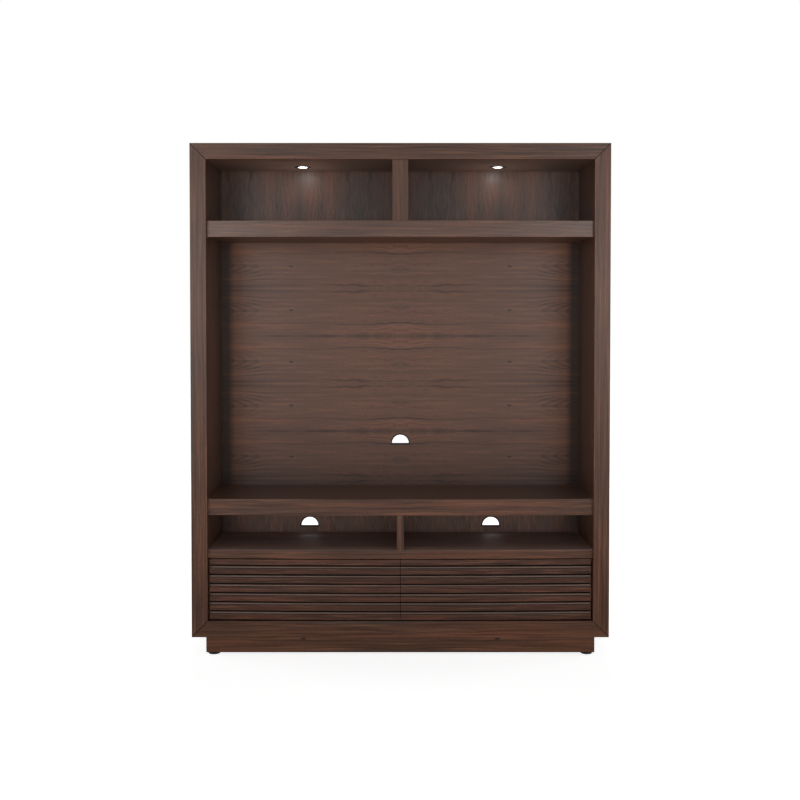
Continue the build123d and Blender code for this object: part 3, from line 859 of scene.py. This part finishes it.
def backPanel(name, node, material, holes):
    piece = nodeBlock(name, node)
    low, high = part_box(node)
    rimBack = low.y + mm(holeLook["rimDeep"])
    for x, z in holes:
        cutWith(piece, halfRoundCutter(x, z, low.y - overrun, high.y + overrun))
        cutWith(piece, halfRoundCutter(x, z, low.y - overrun, rimBack, holeLook["rim"]))
    rimRadius = mm(holeLook["radius"] + holeLook["rim"])

    def holesAt(spot, reach):
        # the holes that a place lies at
        return {(x, z) for x, z in holes if math.hypot(spot.x - x, spot.z - z) < rimRadius * reach}

    def isRim(a, b):
        return near(a.y, b.y) and bool(holesAt(a, 1.05) & holesAt(b, 1.05))

    def isSawn(center, normal):
        return low.y + hair < center.y < high.y - hair and bool(holesAt(center, 1.12))

    easeEdges(piece, holeLook["ease"], 2, isRim)
    finish(piece, material, "cabinet", [node])
    secondMaterialOn(piece, walnutShadeAndStain, isSawn)  # the edge inside a hole and its shallow rim


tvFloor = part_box("tv_shelf_edge")[1].z
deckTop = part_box("media_deck")[1].z
mediaHoleX = (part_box("media_divider")[1].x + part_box("right_inner_wall")[0].x) / 2
mediaHoles = [(side * mediaHoleX, deckTop + mm(holeLook["mediaHigh"])) for side in (-1, 1)]
backPanel("back_tv", "tv_back_panel", walnutTvBack, [(0, tvFloor + mm(holeLook["tvHigh"]))])
backPanel("back_media", "lower_back_panel", walnutMediaBack, mediaHoles)

upperLow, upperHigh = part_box("upper_back_panel")
inletLow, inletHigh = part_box("power_inlet")
inletZ = (inletLow.z + inletHigh.z) / 2
upperBack = nodeBlock("back_display", "upper_back_panel")
throughUpper = [(0, upperLow.y - overrun, inletZ), (0, upperHigh.y + overrun, inletZ)]
cutWith(upperBack, addRoundBar("inletHole", mm(inletHoleLook["radius"]), *throughUpper))
easeAll(upperBack, inletHoleLook["ease"])
finish(upperBack, walnutDisplayBack, "cabinet", ["upper_back_panel"])
print("backs made")


# Bowed front edges and drawer fronts, turned about the centre of the bow

bowLook = {"rise": 18, "setback": 22, "steps": 28, "ease": 1.5, "spare": 30}
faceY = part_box("left_post")[0].y
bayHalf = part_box("mid_shelf_edge")[1].x
bowRadius = bayHalf ** 2 / (2 * mm(bowLook["rise"])) + mm(bowLook["rise"]) / 2
bowFrontY = faceY + mm(bowLook["setback"] - bowLook["rise"])
bowCentre = (0, bowFrontY + bowRadius, 0)


def bowPiece(piece):
    # carries the outline along the bow, from beyond the left wall to beyond the right one
    half = math.asin((bayHalf + overrun) / bowRadius)
    editWhole(piece)
    bpy.ops.transform.rotate(value=half, orient_axis="Z", center_override=bowCentre)
    leaveEdit()
    towardRight = -1 if piece.data.vertices[0].co.x < 0 else 1
    spinOutline(piece, bowLook["steps"], towardRight * 2 * half, bowCentre)


def bowedEdge(name, node, material, top=None):
    low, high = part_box(node)
    rearY = high.y + mm(bowLook["spare"])
    outline = [(bowFrontY, low.z), (bowFrontY, high.z), (rearY, high.z), (rearY, low.z)]
    piece = drawOutline(name, outline, bowLook["ease"], 3, lambda co: near(co.y, bowFrontY))
    bowPiece(piece)
    sawToNode(piece, low, high)
    finish(piece, material, "cabinet", [node], 20)
    if top:  # the flat top takes another copy: the deck's duller and lighter with painted light, the TV shelf's darker with painted shade
        secondMaterialOn(piece, top, lambda center, normal: normal.z > 0.9)


bowedEdge("edge_mid_shelf", "mid_shelf_edge", walnutEdge)
bowedEdge("edge_tv_shelf", "tv_shelf_edge", walnutLevelFrame, walnutShelfTop)
bowedEdge("deck_board", "media_deck", walnutLevelFrame, walnutTops)
print("bowed edges made")

slatLook = {
    "courses": 6, "pitch": 38, "top": 22,
    "grooveTall": 8, "grooveDeep": 14,
    "ledgeTall": 5.5, "ledgeTop": 6, "ledgeBack": 2,
    "kerfTall": 3, "kerfDeep": 6, "shadeDeep": 5.5,
    "ease": 1.2, "spare": 40,
}


def slatOutline(lowZ, highZ, rearY):
    # plain top course, then a groove, a sloping ledge, a kerf and a face for each slat
    look = inMetres(slatLook, ["courses"])
    grooveY, kerfY = bowFrontY + look["grooveDeep"], bowFrontY + look["kerfDeep"]
    points = [(bowFrontY, highZ)]
    z = highZ - look["top"]
    for course in range(look["courses"]):
        ledgeZ = z - look["grooveTall"]
        kerfZ = ledgeZ - look["ledgeTall"]
        faceZ = kerfZ - look["kerfTall"]
        points += [
            (bowFrontY, z), (grooveY, z), (grooveY, ledgeZ),
            (bowFrontY + look["ledgeTop"], ledgeZ), (bowFrontY + look["ledgeBack"], kerfZ),
            (kerfY, kerfZ), (kerfY, faceZ), (bowFrontY, faceZ),
        ]
        z -= look["pitch"]
    return points + [(bowFrontY, lowZ), (rearY, lowZ), (rearY, highZ)]


def slattedFront(name, node, body):
    low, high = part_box(node)

    def isFrontCorner(co):
        return co.y < bowFrontY + mm(slatLook["ledgeBack"] + 0.1)

    def isDeep(center, normal):
        # the faces that lie well behind the bowed front, apart from the sawn ends and the rear
        behind = bowRadius - math.hypot(center.x - bowCentre[0], center.y - bowCentre[1])
        between = low.z + mm(1) < center.z < high.z - mm(1)
        forward = abs(normal.x) < 0.5 and normal.y < 0.5
        return between and forward and behind > mm(slatLook["shadeDeep"])

    outline = slatOutline(low.z, high.z, high.y + mm(slatLook["spare"]))
    piece = drawOutline(name, outline, slatLook["ease"], 2, isFrontCorner)
    bowPiece(piece)
    sawToNode(piece, low, high)
    finish(piece, walnutSlats, body, [node], 20)
    # painted shade: the faces deep in the grooves and kerfs get the near-black copy
    secondMaterialOn(piece, walnutShadeAndStain, isDeep)


slattedFront("slatted_front_left", "left_drawer_front", "left_drawer")
slattedFront("slatted_front_right", "right_drawer_front", "right_drawer")
print("drawer fronts made")


# Thick shelves, folded from veneered board and open at the rear, and the display bays' ceiling

shelfLook = {"wall": 16, "ease": 0.6}
ceilingLook = {"holeRadius": 32, "ease": 0.6}


def foldedShelf(name, node, material):
    low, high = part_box(node)
    wall = mm(shelfLook["wall"])
    section = [
        (low.y, low.z), (high.y, low.z), (high.y, low.z + wall), (low.y + wall, low.z + wall),
        (low.y + wall, high.z - wall), (high.y, high.z - wall), (high.y, high.z), (low.y, high.z),
    ]
    piece = pushedOutline(name, section, low.x, high.x)
    easeAll(piece, shelfLook["ease"])
    finish(piece, material, "cabinet", [node])


foldedShelf("shelf_mid", "mid_shelf", walnutLevel)
foldedShelf("shelf_tv", "tv_shelf", walnutShelfTop)

lampLow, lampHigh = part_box("lamp_rings")
lampX = lampHigh.x - (lampHigh.y - lampLow.y) / 2
lampY = (lampLow.y + lampHigh.y) / 2
ceiling = nodeBlock("ceiling_board", "ceiling_panel")
ceilingLow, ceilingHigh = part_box("ceiling_panel")
for x in (-lampX, lampX):
    through = [(x, lampY, z) for z in (ceilingLow.z - overrun, ceilingHigh.z + overrun)]
    cutWith(ceiling, addRoundBar("lampHole", mm(ceilingLook["holeRadius"]), *through, 64))
easeAll(ceiling, ceilingLook["ease"])
finish(ceiling, walnutCeiling, "cabinet", ["ceiling_panel"])
print("shelves and ceiling made")


# Plinth: boards mitred at the front corners, blocks in the corners, levelling feet

plinthLook = {"ease": 1.0, "blockSide": 60, "blockEase": 1.2, "boreRadius": 5.3}
footLook = {
    "padRadius": 24, "padTall": 5, "padRound": 1.2, "padEdge": 1, "padShoulder": 1.5,
    "hubRadius": 9, "hubTall": 9, "hubFillet": 2,
    "stemRadius": 5, "stemSunk": 1, "stemTaper": 0.8, "threadFrom": 1, "threadStop": 2.5,
    "threadDeep": 0.55, "threadPitch": 1.75,
    "nutRadius": 8.6, "nutLow": 10.5, "nutTall": 5, "nutEase": 0.7, "steps": 48, "stemSteps": 24,
}


def plinthBoard(name, node, material, cuts):
    piece = nodeBlock(name, node)
    for point, away in cuts:
        sawOff(piece, point, away)
    easeAll(piece, plinthLook["ease"])
    finish(piece, material, "cabinet", [node])


plinthLow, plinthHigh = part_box("plinth_front")
leftCorner = (plinthLow.x, plinthLow.y, 0)
rightCorner = (plinthHigh.x, plinthLow.y, 0)
faceCuts = [(leftCorner, (-1, 1, 0)), (rightCorner, (1, 1, 0))]
plinthBoard("plinth_face", "plinth_front", walnutPlinth, faceCuts)
plinthBoard("plinth_side_left", "plinth_left_end", walnutPlinthSide, [(leftCorner, (1, -1, 0))])
plinthBoard("plinth_side_right", "plinth_right_end", walnutPlinthSide, [(rightCorner, (-1, -1, 0))])


def levellingFoot(name, node, x, y):
    # a nylon pad with a rounded rim and a hub, and a threaded steel stem with its lock nut
    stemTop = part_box(node)[1].z
    look = inMetres(footLook, ["steps", "stemSteps"])
    padRadius, padTall = look["padRadius"], look["padTall"]
    stemRadius, hubTall = look["stemRadius"], look["hubTall"]
    pad = turnPiece(name + "_pad", [
        (0, 0), (padRadius - look["padRound"], 0), (padRadius, look["padRound"]),
        (padRadius, padTall - look["padEdge"]), (padRadius - look["padShoulder"], padTall),
        (look["hubRadius"] + look["hubFillet"], hubTall - look["hubFillet"]),
        (look["hubRadius"], hubTall), (0, hubTall),
    ], look["steps"], x, y)
    section = [(0, hubTall - look["stemSunk"]), (stemRadius, hubTall - look["stemSunk"])]
    z = hubTall + look["threadFrom"]
    while z < stemTop - look["threadStop"]:
        section += [(stemRadius, z), (stemRadius - look["threadDeep"], z + look["threadPitch"] / 2)]
        z += look["threadPitch"]
    section += [(stemRadius - look["stemTaper"], stemTop), (0, stemTop)]
    stem = turnPiece(name + "_stem", section, look["stemSteps"], x, y)
    nutPlace = [(x, y, look["nutLow"]), (x, y, look["nutLow"] + look["nutTall"])]
    nut = addRoundBar(name + "_nut", look["nutRadius"], *nutPlace, 6)
    easeAll(nut, footLook["nutEase"])
    finish(pad, blackNylon, node, [node])
    finish(stem, zincSteel, node, [node], 25)
    finish(nut, zincSteel, node, [node])


def cornerBlock(name, x, y):
    # a poplar block in the plinth's corner, bored for the stem of the foot
    low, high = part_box("plinth_corner_blocks")
    side = mm(plinthLook["blockSide"])
    x0 = low.x if x < 0 else high.x - side
    y0 = low.y if y < 0 else high.y - side
    block = addBlock("block_" + name, (x0, y0, low.z), (x0 + side, y0 + side, high.z))
    through = [(x, y, z) for z in (low.z - overrun, high.z + overrun)]
    cutWith(block, addRoundBar("bore", mm(plinthLook["boreRadius"]), *through, 32))
    easeAll(block, plinthLook["blockEase"])
    finish(block, poplar, "cabinet", ["plinth_corner_blocks"])


for corner in ("front_left", "front_right", "back_left", "back_right"):
    low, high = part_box(corner + "_foot")
    footX, footY = (low.x + high.x) / 2, (low.y + high.y) / 2
    levellingFoot(corner, corner + "_foot", footX, footY)
    cornerBlock(corner, footX, footY)
print("plinth and feet made")


# Puck lights: nickel ring, frosted lens and aluminium can

puckLook = {
    "windowRadius": 22, "windowDeep": 2.4, "ringRadius": 38, "ringTall": 3.5, "ringEdge": 0.9,
    "bevel": 2.5, "flare": 4, "round": 0.5,
    "canRadius": 31, "canTall": 28, "canWall": 2, "canEase": 1,
    "fins": 5, "finFrom": 9, "finPitch": 3.4, "finTall": 1.6, "finDeep": 1,
    "lensRadius": 28.7, "lensTall": 2.5, "lensEdge": 0.4, "lensRim": 1.4, "lensDome": 5,
    "steps": 64,
}


def puckLight(name, x):
    look = inMetres(puckLook, ["fins", "steps"])
    head = lampHigh.z
    lip = head - look["ringTall"]
    window, rim = look["windowRadius"], look["ringRadius"]
    ring = [
        (window, head), (rim, head), (rim, head - look["ringEdge"]), (rim - look["bevel"], lip),
        (window + look["flare"], lip), (window, lip + look["windowDeep"]),
    ]
    ring = turnPiece(name + "_ring", ring, look["steps"], x, lampY, puckLook["round"],
                     lambda co: co.z < head - look["round"])

    outer, inner = look["canRadius"], look["canRadius"] - look["canWall"]
    top = head + look["canTall"]
    can = [(inner, head), (outer, head)]
    deep = outer - look["finDeep"]
    for fin in range(look["fins"]):  # cooling grooves turned round the can
        z0 = head + look["finFrom"] + fin * look["finPitch"]
        z1 = z0 + look["finTall"]
        can += [(outer, z0), (deep, z0), (deep, z1), (outer, z1)]
    can += [(outer, top - look["canEase"]), (outer - look["canEase"], top), (0, top)]
    can += [(0, top - look["canWall"]), (inner, top - look["canWall"])]
    can = turnPiece(name + "_can", can, look["steps"], x, lampY)

    lensRadius, crown = look["lensRadius"], head + look["lensTall"]
    lens = [
        (0, head), (lensRadius - look["lensEdge"], head), (lensRadius, head + look["lensEdge"]),
        (lensRadius, head + look["lensRim"]), (lensRadius - look["lensDome"], crown), (0, crown),
    ]
    lens = turnPiece(name + "_lens", lens, look["steps"], x, lampY)
    finish(ring, brushedNickel, "cabinet", ["lamp_rings"])
    finish(can, spunAluminium, "cabinet", ["lamp_cans"])
    finish(lens, lensGlow, "cabinet", ["lamp_lenses"])


puckLight("puck_left", -lampX)
puckLight("puck_right", lampX)
print("puck lights made")


# Power inlet in the back panel, and the driver on the ceiling

inletLook = {
    "barrel": 8, "flange": 13, "flangeTall": 2.5, "ease": 0.3,
    "socket": 3, "socketDeep": 8, "pin": 0.9, "pinShort": 1,
}
driverLook = {
    "corner": 3, "cornerSteps": 4, "ease": 0.4, "ribs": 9, "ribFrom": 14, "ribPitch": 14,
    "ribHalf": 1.5, "ribInset": 6, "ribDeep": 1.2, "ribOver": 5,
}


def grownEnd(grow, push):
    # the selected end face scaled about the inlet's axis, then pushed along Y
    bpy.ops.mesh.extrude_region_move(TRANSFORM_OT_translate={"value": (0, 0, 0)})
    bpy.ops.transform.resize(value=(grow, 1, grow), center_override=(0, 0, inletZ))
    bpy.ops.mesh.extrude_region_move(TRANSFORM_OT_translate={"value": (0, mm(push), 0)})


panelRear = upperHigh.y
barrel = [(0, inletLow.y, inletZ), (0, panelRear, inletZ)]
inlet = addRoundBar("inlet_body", mm(inletLook["barrel"]), *barrel)
editFaces(inlet, lambda center, normal: normal.y > 0.9)
grownEnd(inletLook["flange"] / inletLook["barrel"], inletLook["flangeTall"])
grownEnd(inletLook["socket"] / inletLook["flange"], -inletLook["socketDeep"])
grownEnd(inletLook["pin"] / inletLook["socket"], inletLook["socketDeep"] - inletLook["pinShort"])
leaveEdit()
easeAll(inlet, inletLook["ease"])
finish(inlet, blackMoulding, "cabinet", ["power_inlet"])

driverLow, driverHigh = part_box("lamp_driver")
driver = nodeBlock("driver_case", "lamp_driver")
easeEdges(driver, driverLook["corner"], driverLook["cornerSteps"],
          lambda a, b: near(a.x, b.x) and near(a.y, b.y))
rib = inMetres(driverLook, ["cornerSteps", "ribs"])
for number in range(driverLook["ribs"]):  # cooling grooves across the lid
    x = driverLow.x + rib["ribFrom"] + number * rib["ribPitch"]
    grooveLow = (x - rib["ribHalf"], driverLow.y + rib["ribInset"], driverHigh.z - rib["ribDeep"])
    grooveHigh = (x + rib["ribHalf"], driverHigh.y - rib["ribInset"], driverHigh.z + rib["ribOver"])
    cutWith(driver, addBlock("groove", grooveLow, grooveHigh))
easeAll(driver, driverLook["ease"])
finish(driver, blackMoulding, "cabinet", ["lamp_driver"])
print("inlet and driver made")


# Screws: one pan head with a cross recess, copied to each place

screwLook = {
    "radius": 3.6, "tall": 1.8, "round": 1, "sides": 20,
    "recess": 0.9, "bar": 0.9, "reach": 2.0, "over": 2,
}
backScrews = {
    "fromTop": 30, "fromCeiling": 40, "fromShelf": 20, "fromLower": 30, "inShelf": 8, "fromEnd": 60,
    "stileWide": 19, "display": 3, "tv": 6, "media": 4, "across": 6,
}


def makeScrew():
    # its seat is at the origin and it looks along -Y
    look = inMetres(screwLook, ["sides"])
    front = -look["tall"]
    head = addRoundBar("screw", look["radius"], (0, 0, 0), (0, front, 0), look["sides"])
    easeEdges(head, screwLook["round"], 3, lambda a, b: a.y < -mm(1) and b.y < -mm(1))
    outside, inside = front - look["over"], front + look["recess"]
    for x, z in ((look["reach"], look["bar"] / 2), (look["bar"] / 2, look["reach"])):
        cutWith(head, addBlock("slot", (-x, outside, -z), (x, inside, z)))
    return head


screw = makeScrew()


def screwRow(name, places, body):
    # the heads are turned to look along +Y
    row = []
    for number, place in enumerate(places):
        one = copyPiece(screw, f"{name}_{number}")
        editWhole(one)
        bpy.ops.transform.rotate(value=math.pi, orient_axis="Z", center_override=(0, 0, 0))
        bpy.ops.transform.translate(value=place)
        leaveEdit()
        row.append(one)
    finish(joinPieces(row, name), blackSteel, body)


def spaced(low, high, count):
    return [low + (high - low) * i / (count - 1) for i in range(count)]


midLow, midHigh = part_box("mid_shelf")
tvLow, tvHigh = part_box("tv_shelf")
deckLow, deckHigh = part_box("media_deck")
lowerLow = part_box("lower_back_panel")[0]
plan = inMetres(backScrews, ["display", "tv", "media", "across"])
stileX = (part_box("left_inner_wall")[0].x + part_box("left_side_panel")[0].x + plan["stileWide"]) / 2
backZ = spaced(upperLow.z + plan["fromCeiling"], upperHigh.z - plan["fromTop"], plan["display"])
backZ += spaced(tvHigh.z + plan["fromShelf"], midLow.z - plan["fromShelf"], plan["tv"])
backZ += spaced(lowerLow.z + plan["fromLower"], tvLow.z - plan["fromLower"], plan["media"])
backPlaces = [(side * stileX, panelRear, z) for side in (-1, 1) for z in backZ]
shelfZ = []
for low, high in ((midLow, midHigh), (tvLow, tvHigh)):
    shelfZ += [high.z - plan["inShelf"], low.z + plan["inShelf"]]
for z in shelfZ + [(deckLow.z + deckHigh.z) / 2]:
    for x in spaced(midLow.x + plan["fromEnd"], midHigh.x - plan["fromEnd"], plan["across"]):
        backPlaces.append((x, panelRear, z))
screwRow("back_screws", backPlaces, "cabinet")


# Drawer boxes, with the screws that hold the fronts, and the slides

boxLook = {
    "ease": 0.7, "bottomEase": 0.3, "screwEnd": 80, "screwLow": 60, "screwHigh": 40, "screws": 3,
}
slideLook = {
    "ease": 0.35, "race": 2.15, "raceDeep": 4.6,
    "ballRadius": 2.0, "balls": 8, "ballGap": 16, "ballFrom": 14,
    "cageHalf": 3, "cageThick": 1, "cageFrom": 8, "cageTo": 20, "cageEase": 0.2,
}
boxParts = {
    "inner_side": mapleAlong, "outer_side": mapleAlong,
    "box_front": mapleAcross, "box_back": mapleAcross, "bottom": mapleAcross,
}


def channelPiece(name, node, body):
    finish(easedCopy(name, node, slideLook["ease"]), zincSteel, body, [node])


def ballRows(name, node, body):
    # bearing balls in both races of each slide, in their cages
    low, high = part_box(node)
    look = inMetres(slideLook, ["balls"])
    rows = []
    for x in (low.x + look["raceDeep"], high.x - look["raceDeep"]):
        for z in (low.z - look["race"], high.z + look["race"]):
            for number in range(look["balls"]):
                deselectAll()
                y = low.y + look["ballFrom"] + number * look["ballGap"]
                bpy.ops.mesh.primitive_uv_sphere_add(
                    segments=10, ring_count=6, radius=look["ballRadius"], location=(x, y, z))
                rows.append(bpy.context.object)
                bpy.ops.object.transform_apply(location=True, rotation=True, scale=True)
            half, thick = look["cageHalf"], look["cageThick"] / 2
            y0 = low.y + look["cageFrom"]
            y1 = low.y + look["cageTo"] + look["balls"] * look["ballGap"]
            cage = addBlock("cage", (x - half, y0, z - thick), (x + half, y1, z + thick))
            easeAll(cage, slideLook["cageEase"], 1)
            rows.append(cage)
    finish(joinPieces(rows, name), zincSteel, body)


channelPiece("channels_cabinet", "slide_cabinet_channels", "cabinet")
for side in ("left", "right"):
    drawer, middle = side + "_drawer", side + "_slide_middle"
    channelPiece(f"channels_drawer_{side}", side + "_slide_drawer_channels", drawer)
    channelPiece(f"channels_middle_{side}", middle + "_channels", middle)
    ballRows(f"balls_{side}", middle + "_channels", middle)
    for part, material in boxParts.items():
        ease = boxLook["bottomEase" if part == "bottom" else "ease"]
        piece = easedCopy(f"{part}_{side}", f"{drawer}_{part}", ease)
        finish(piece, material, drawer, [f"{drawer}_{part}"])
    low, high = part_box(drawer + "_box_front")
    plan = inMetres(boxLook, ["screws"])
    screwX = spaced(low.x + plan["screwEnd"], high.x - plan["screwEnd"], plan["screws"])
    screwZ = (low.z + plan["screwLow"], high.z - plan["screwHigh"])
    screwRow(f"front_screws_{side}", [(x, high.y, z) for x in screwX for z in screwZ], drawer)
bpy.data.objects.remove(screw)
print("drawer boxes and slides made")


# CAD nodes that keep their own mesh and get a finish

dressed = {"rear_stiles": poplar, "lamp_led_boards": whiteLaminate, "lamp_leads": vinylSheath}
for node, material in dressed.items():
    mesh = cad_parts[node].data
    mesh.materials.clear()
    mesh.materials.append(material)
print("nodes dressed:", len(dressed))


# Studio, in metres: pale floor, soft lights, camera where the photograph was taken

floorLook = {
    "size": 40, "tone": 0.6, "bounce": 0.2,
    "shadeFrom": 1.2, "shadeTo": 4, "shade": 0.85,  # painted shade: a little less glow round the cabinet
    "mirrorFrom": 3.4, "mirrorTo": 9,               # reflections see only the far floor white
}
worldLook = {"fill": 0.1}
cameraLook = {
    "distance": 5, "height": 1.421, "pitch": 1.65,
    "lens": 54.75, "shiftX": -0.0004, "shiftY": -0.0658, "farthest": 100,
}
softLights = {
    "keyLight": {"at": (0, -6.2, 1.75), "to": (0, 0, 1.45), "size": (2.6, 1.6), "watts": 10,
                 "spread": 56},
    "lowLight": {"at": (0, -3.2, 0.3), "to": (0, 0, 1.7), "size": (4.6, 0.8), "watts": 35},
    "sideBox": {"at": (2.2, -5, 1.75), "to": (0, 0, 1.5), "size": (1.3, 1.5), "watts": 42,
                "paired": True, "mirrored": True},
    "sideLight": {"at": (4.6, 1.2, 1.9), "to": (0.8, 0.1, 1.1), "size": (2, 2.4), "watts": 45,
                  "paired": True},
    "backLight": {"at": (0, 5.4, 1.9), "to": (0, 0.2, 1.1), "size": (3, 2.4), "watts": 75},
    "overLight": {"at": (0, 0.9, 4.4), "to": (0, 0.3, 2), "size": (2.4, 1.2), "watts": 18},
    "topBox": {"at": (1.3, -1.4, 3.9), "to": (0.8, -0.2, 0.3), "size": (1.2, 1.2), "watts": 40,
               "paired": True, "mirrored": True},
}
glowLook = {"colour": (0.9, 0.96, 1), "soft": 0.005}
puckGlows = {
    "puckWash": {"below": 0.006, "watts": 0.4, "wide": 165, "tilt": 10},    # down on the shelf
    "puckSpill": {"below": 0.19, "watts": 1, "wide": 170, "tilt": 180},     # back up on the ceiling
    "puckBeam": {"below": 0.006, "watts": 0.2, "wide": 62, "tilt": 80},     # on the back panel
    "puckGlint": {"below": 0.006, "watts": 0.17, "wide": 90, "tilt": 70, "mirrored": True},
}


def whereSeen(tree, paths):
    # 1 for what the camera, a mirror or clear glass looks at, and 0 for light that falls on things
    rays = paths.outputs
    through = addNode(tree, "Math", "MAXIMUM", rays["Is Glossy Ray"], rays["Is Transmission Ray"])
    return addNode(tree, "Math", "MAXIMUM", rays["Is Camera Ray"], through)


def makeFloor():
    # plain white floor, which keeps the cabinet's shadow
    deselectAll()
    bpy.ops.mesh.primitive_plane_add(size=floorLook["size"])
    floor = bpy.context.object
    floor.name = "studio_floor"
    material, tree = newMaterial("studioFloor")
    add = partial(addNode, tree)
    paths = add("LightPath")
    look, byCamera = floorLook, paths.outputs["Is Camera Ray"]
    place = add("TexCoord").outputs["Object"]
    away = add("VectorMath", "LENGTH", place).outputs["Value"]
    viewed = add("MapRange", {}, away, look["shadeFrom"], look["shadeTo"], look["shade"], 1)
    mirrored = add("MapRange", {}, away, look["mirrorFrom"], look["mirrorTo"], 0, 1)
    level = add("Mix", {"data_type": "FLOAT", 0: byCamera, 2: mirrored, 3: viewed})
    glow = add("Emission", {"Color": grey(1), "Strength": level})
    bounce = add("Emission", {"Color": grey(1), "Strength": look["bounce"]})
    white = add("MixShader", {}, whereSeen(tree, paths), bounce, glow)
    surface = add("AddShader", {}, add("BsdfDiffuse", {"Color": grey(look["tone"])}), white)
    add("OutputMaterial", {"Surface": surface})
    floor.data.materials.append(material)


def makeWorld():
    world = bpy.data.worlds.new("studioWorld")
    bpy.context.scene.world = world
    world.use_nodes = True
    tree = world.node_tree
    tree.nodes.clear()
    add = partial(addNode, tree)
    fill = add("Background", {"Color": grey(1), "Strength": worldLook["fill"]})
    white = add("Background", {"Color": grey(1), "Strength": 1})
    surface = add("MixShader", {}, whereSeen(tree, add("LightPath")), fill, white)
    add("OutputWorld", {"Surface": surface})


def placeLight(light, at, turn, mirrored):
    # the camera sees no lamp; a lamp lights things or shows in the lacquer, not both
    holder = bpy.data.objects.new(light.name, light)
    bpy.context.scene.collection.objects.link(holder)
    holder.location = at
    holder.rotation_euler = turn
    holder.visible_camera = False
    holder.visible_glossy = mirrored
    holder.visible_diffuse = not mirrored


def addSoftLight(name, look, side):
    light = bpy.data.lights.new(name, "AREA")
    light.shape = "RECTANGLE"
    light.size, light.size_y = look["size"]
    light.energy = look["watts"]
    light.spread = math.radians(look.get("spread", 180))
    flip = Vector((side, 1, 1))
    at, to = Vector(look["at"]) * flip, Vector(look["to"]) * flip
    turn = (to - at).to_track_quat("-Z", "Y").to_euler()
    placeLight(light, at, turn, look.get("mirrored", False))


def addPuckGlow(name, look, side):
    # what a puck throws on the back panel, the shelf and the ceiling, and its glint in the lacquer
    light = bpy.data.lights.new(name, "SPOT")
    light.energy = look["watts"]
    light.spot_size = math.radians(look["wide"])
    light.spot_blend = 1
    light.shadow_soft_size = glowLook["soft"]
    light.color = glowLook["colour"]
    at = (side * lampX, lampY, lampLow.z - look["below"])
    placeLight(light, at, (math.radians(look["tilt"]), 0, 0), look.get("mirrored", False))


def makeCamera():
    camera = bpy.data.cameras.new("photoCamera")
    camera.sensor_width = 36
    camera.lens = cameraLook["lens"]
    camera.shift_x = cameraLook["shiftX"]
    camera.shift_y = cameraLook["shiftY"]
    camera.clip_end = cameraLook["farthest"]
    holder = bpy.data.objects.new("photoCamera", camera)
    bpy.context.scene.collection.objects.link(holder)
    holder.location = (0, faceY - cameraLook["distance"], cameraLook["height"])
    holder.rotation_euler = (math.radians(90 - cameraLook["pitch"]), 0, 0)
    bpy.context.scene.camera = holder


makeFloor()
makeWorld()
sides = {"Left": -1, "Right": 1}
for name, look in softLights.items():
    for word, side in (sides if look.get("paired") else {"": 1}).items():
        addSoftLight(name + word, look, side)
for word, side in sides.items():
    for name, look in puckGlows.items():
        addPuckGlow(name + word, look, side)
makeCamera()
bpy.context.scene.view_settings.view_transform = "Standard"
print("studio ready")
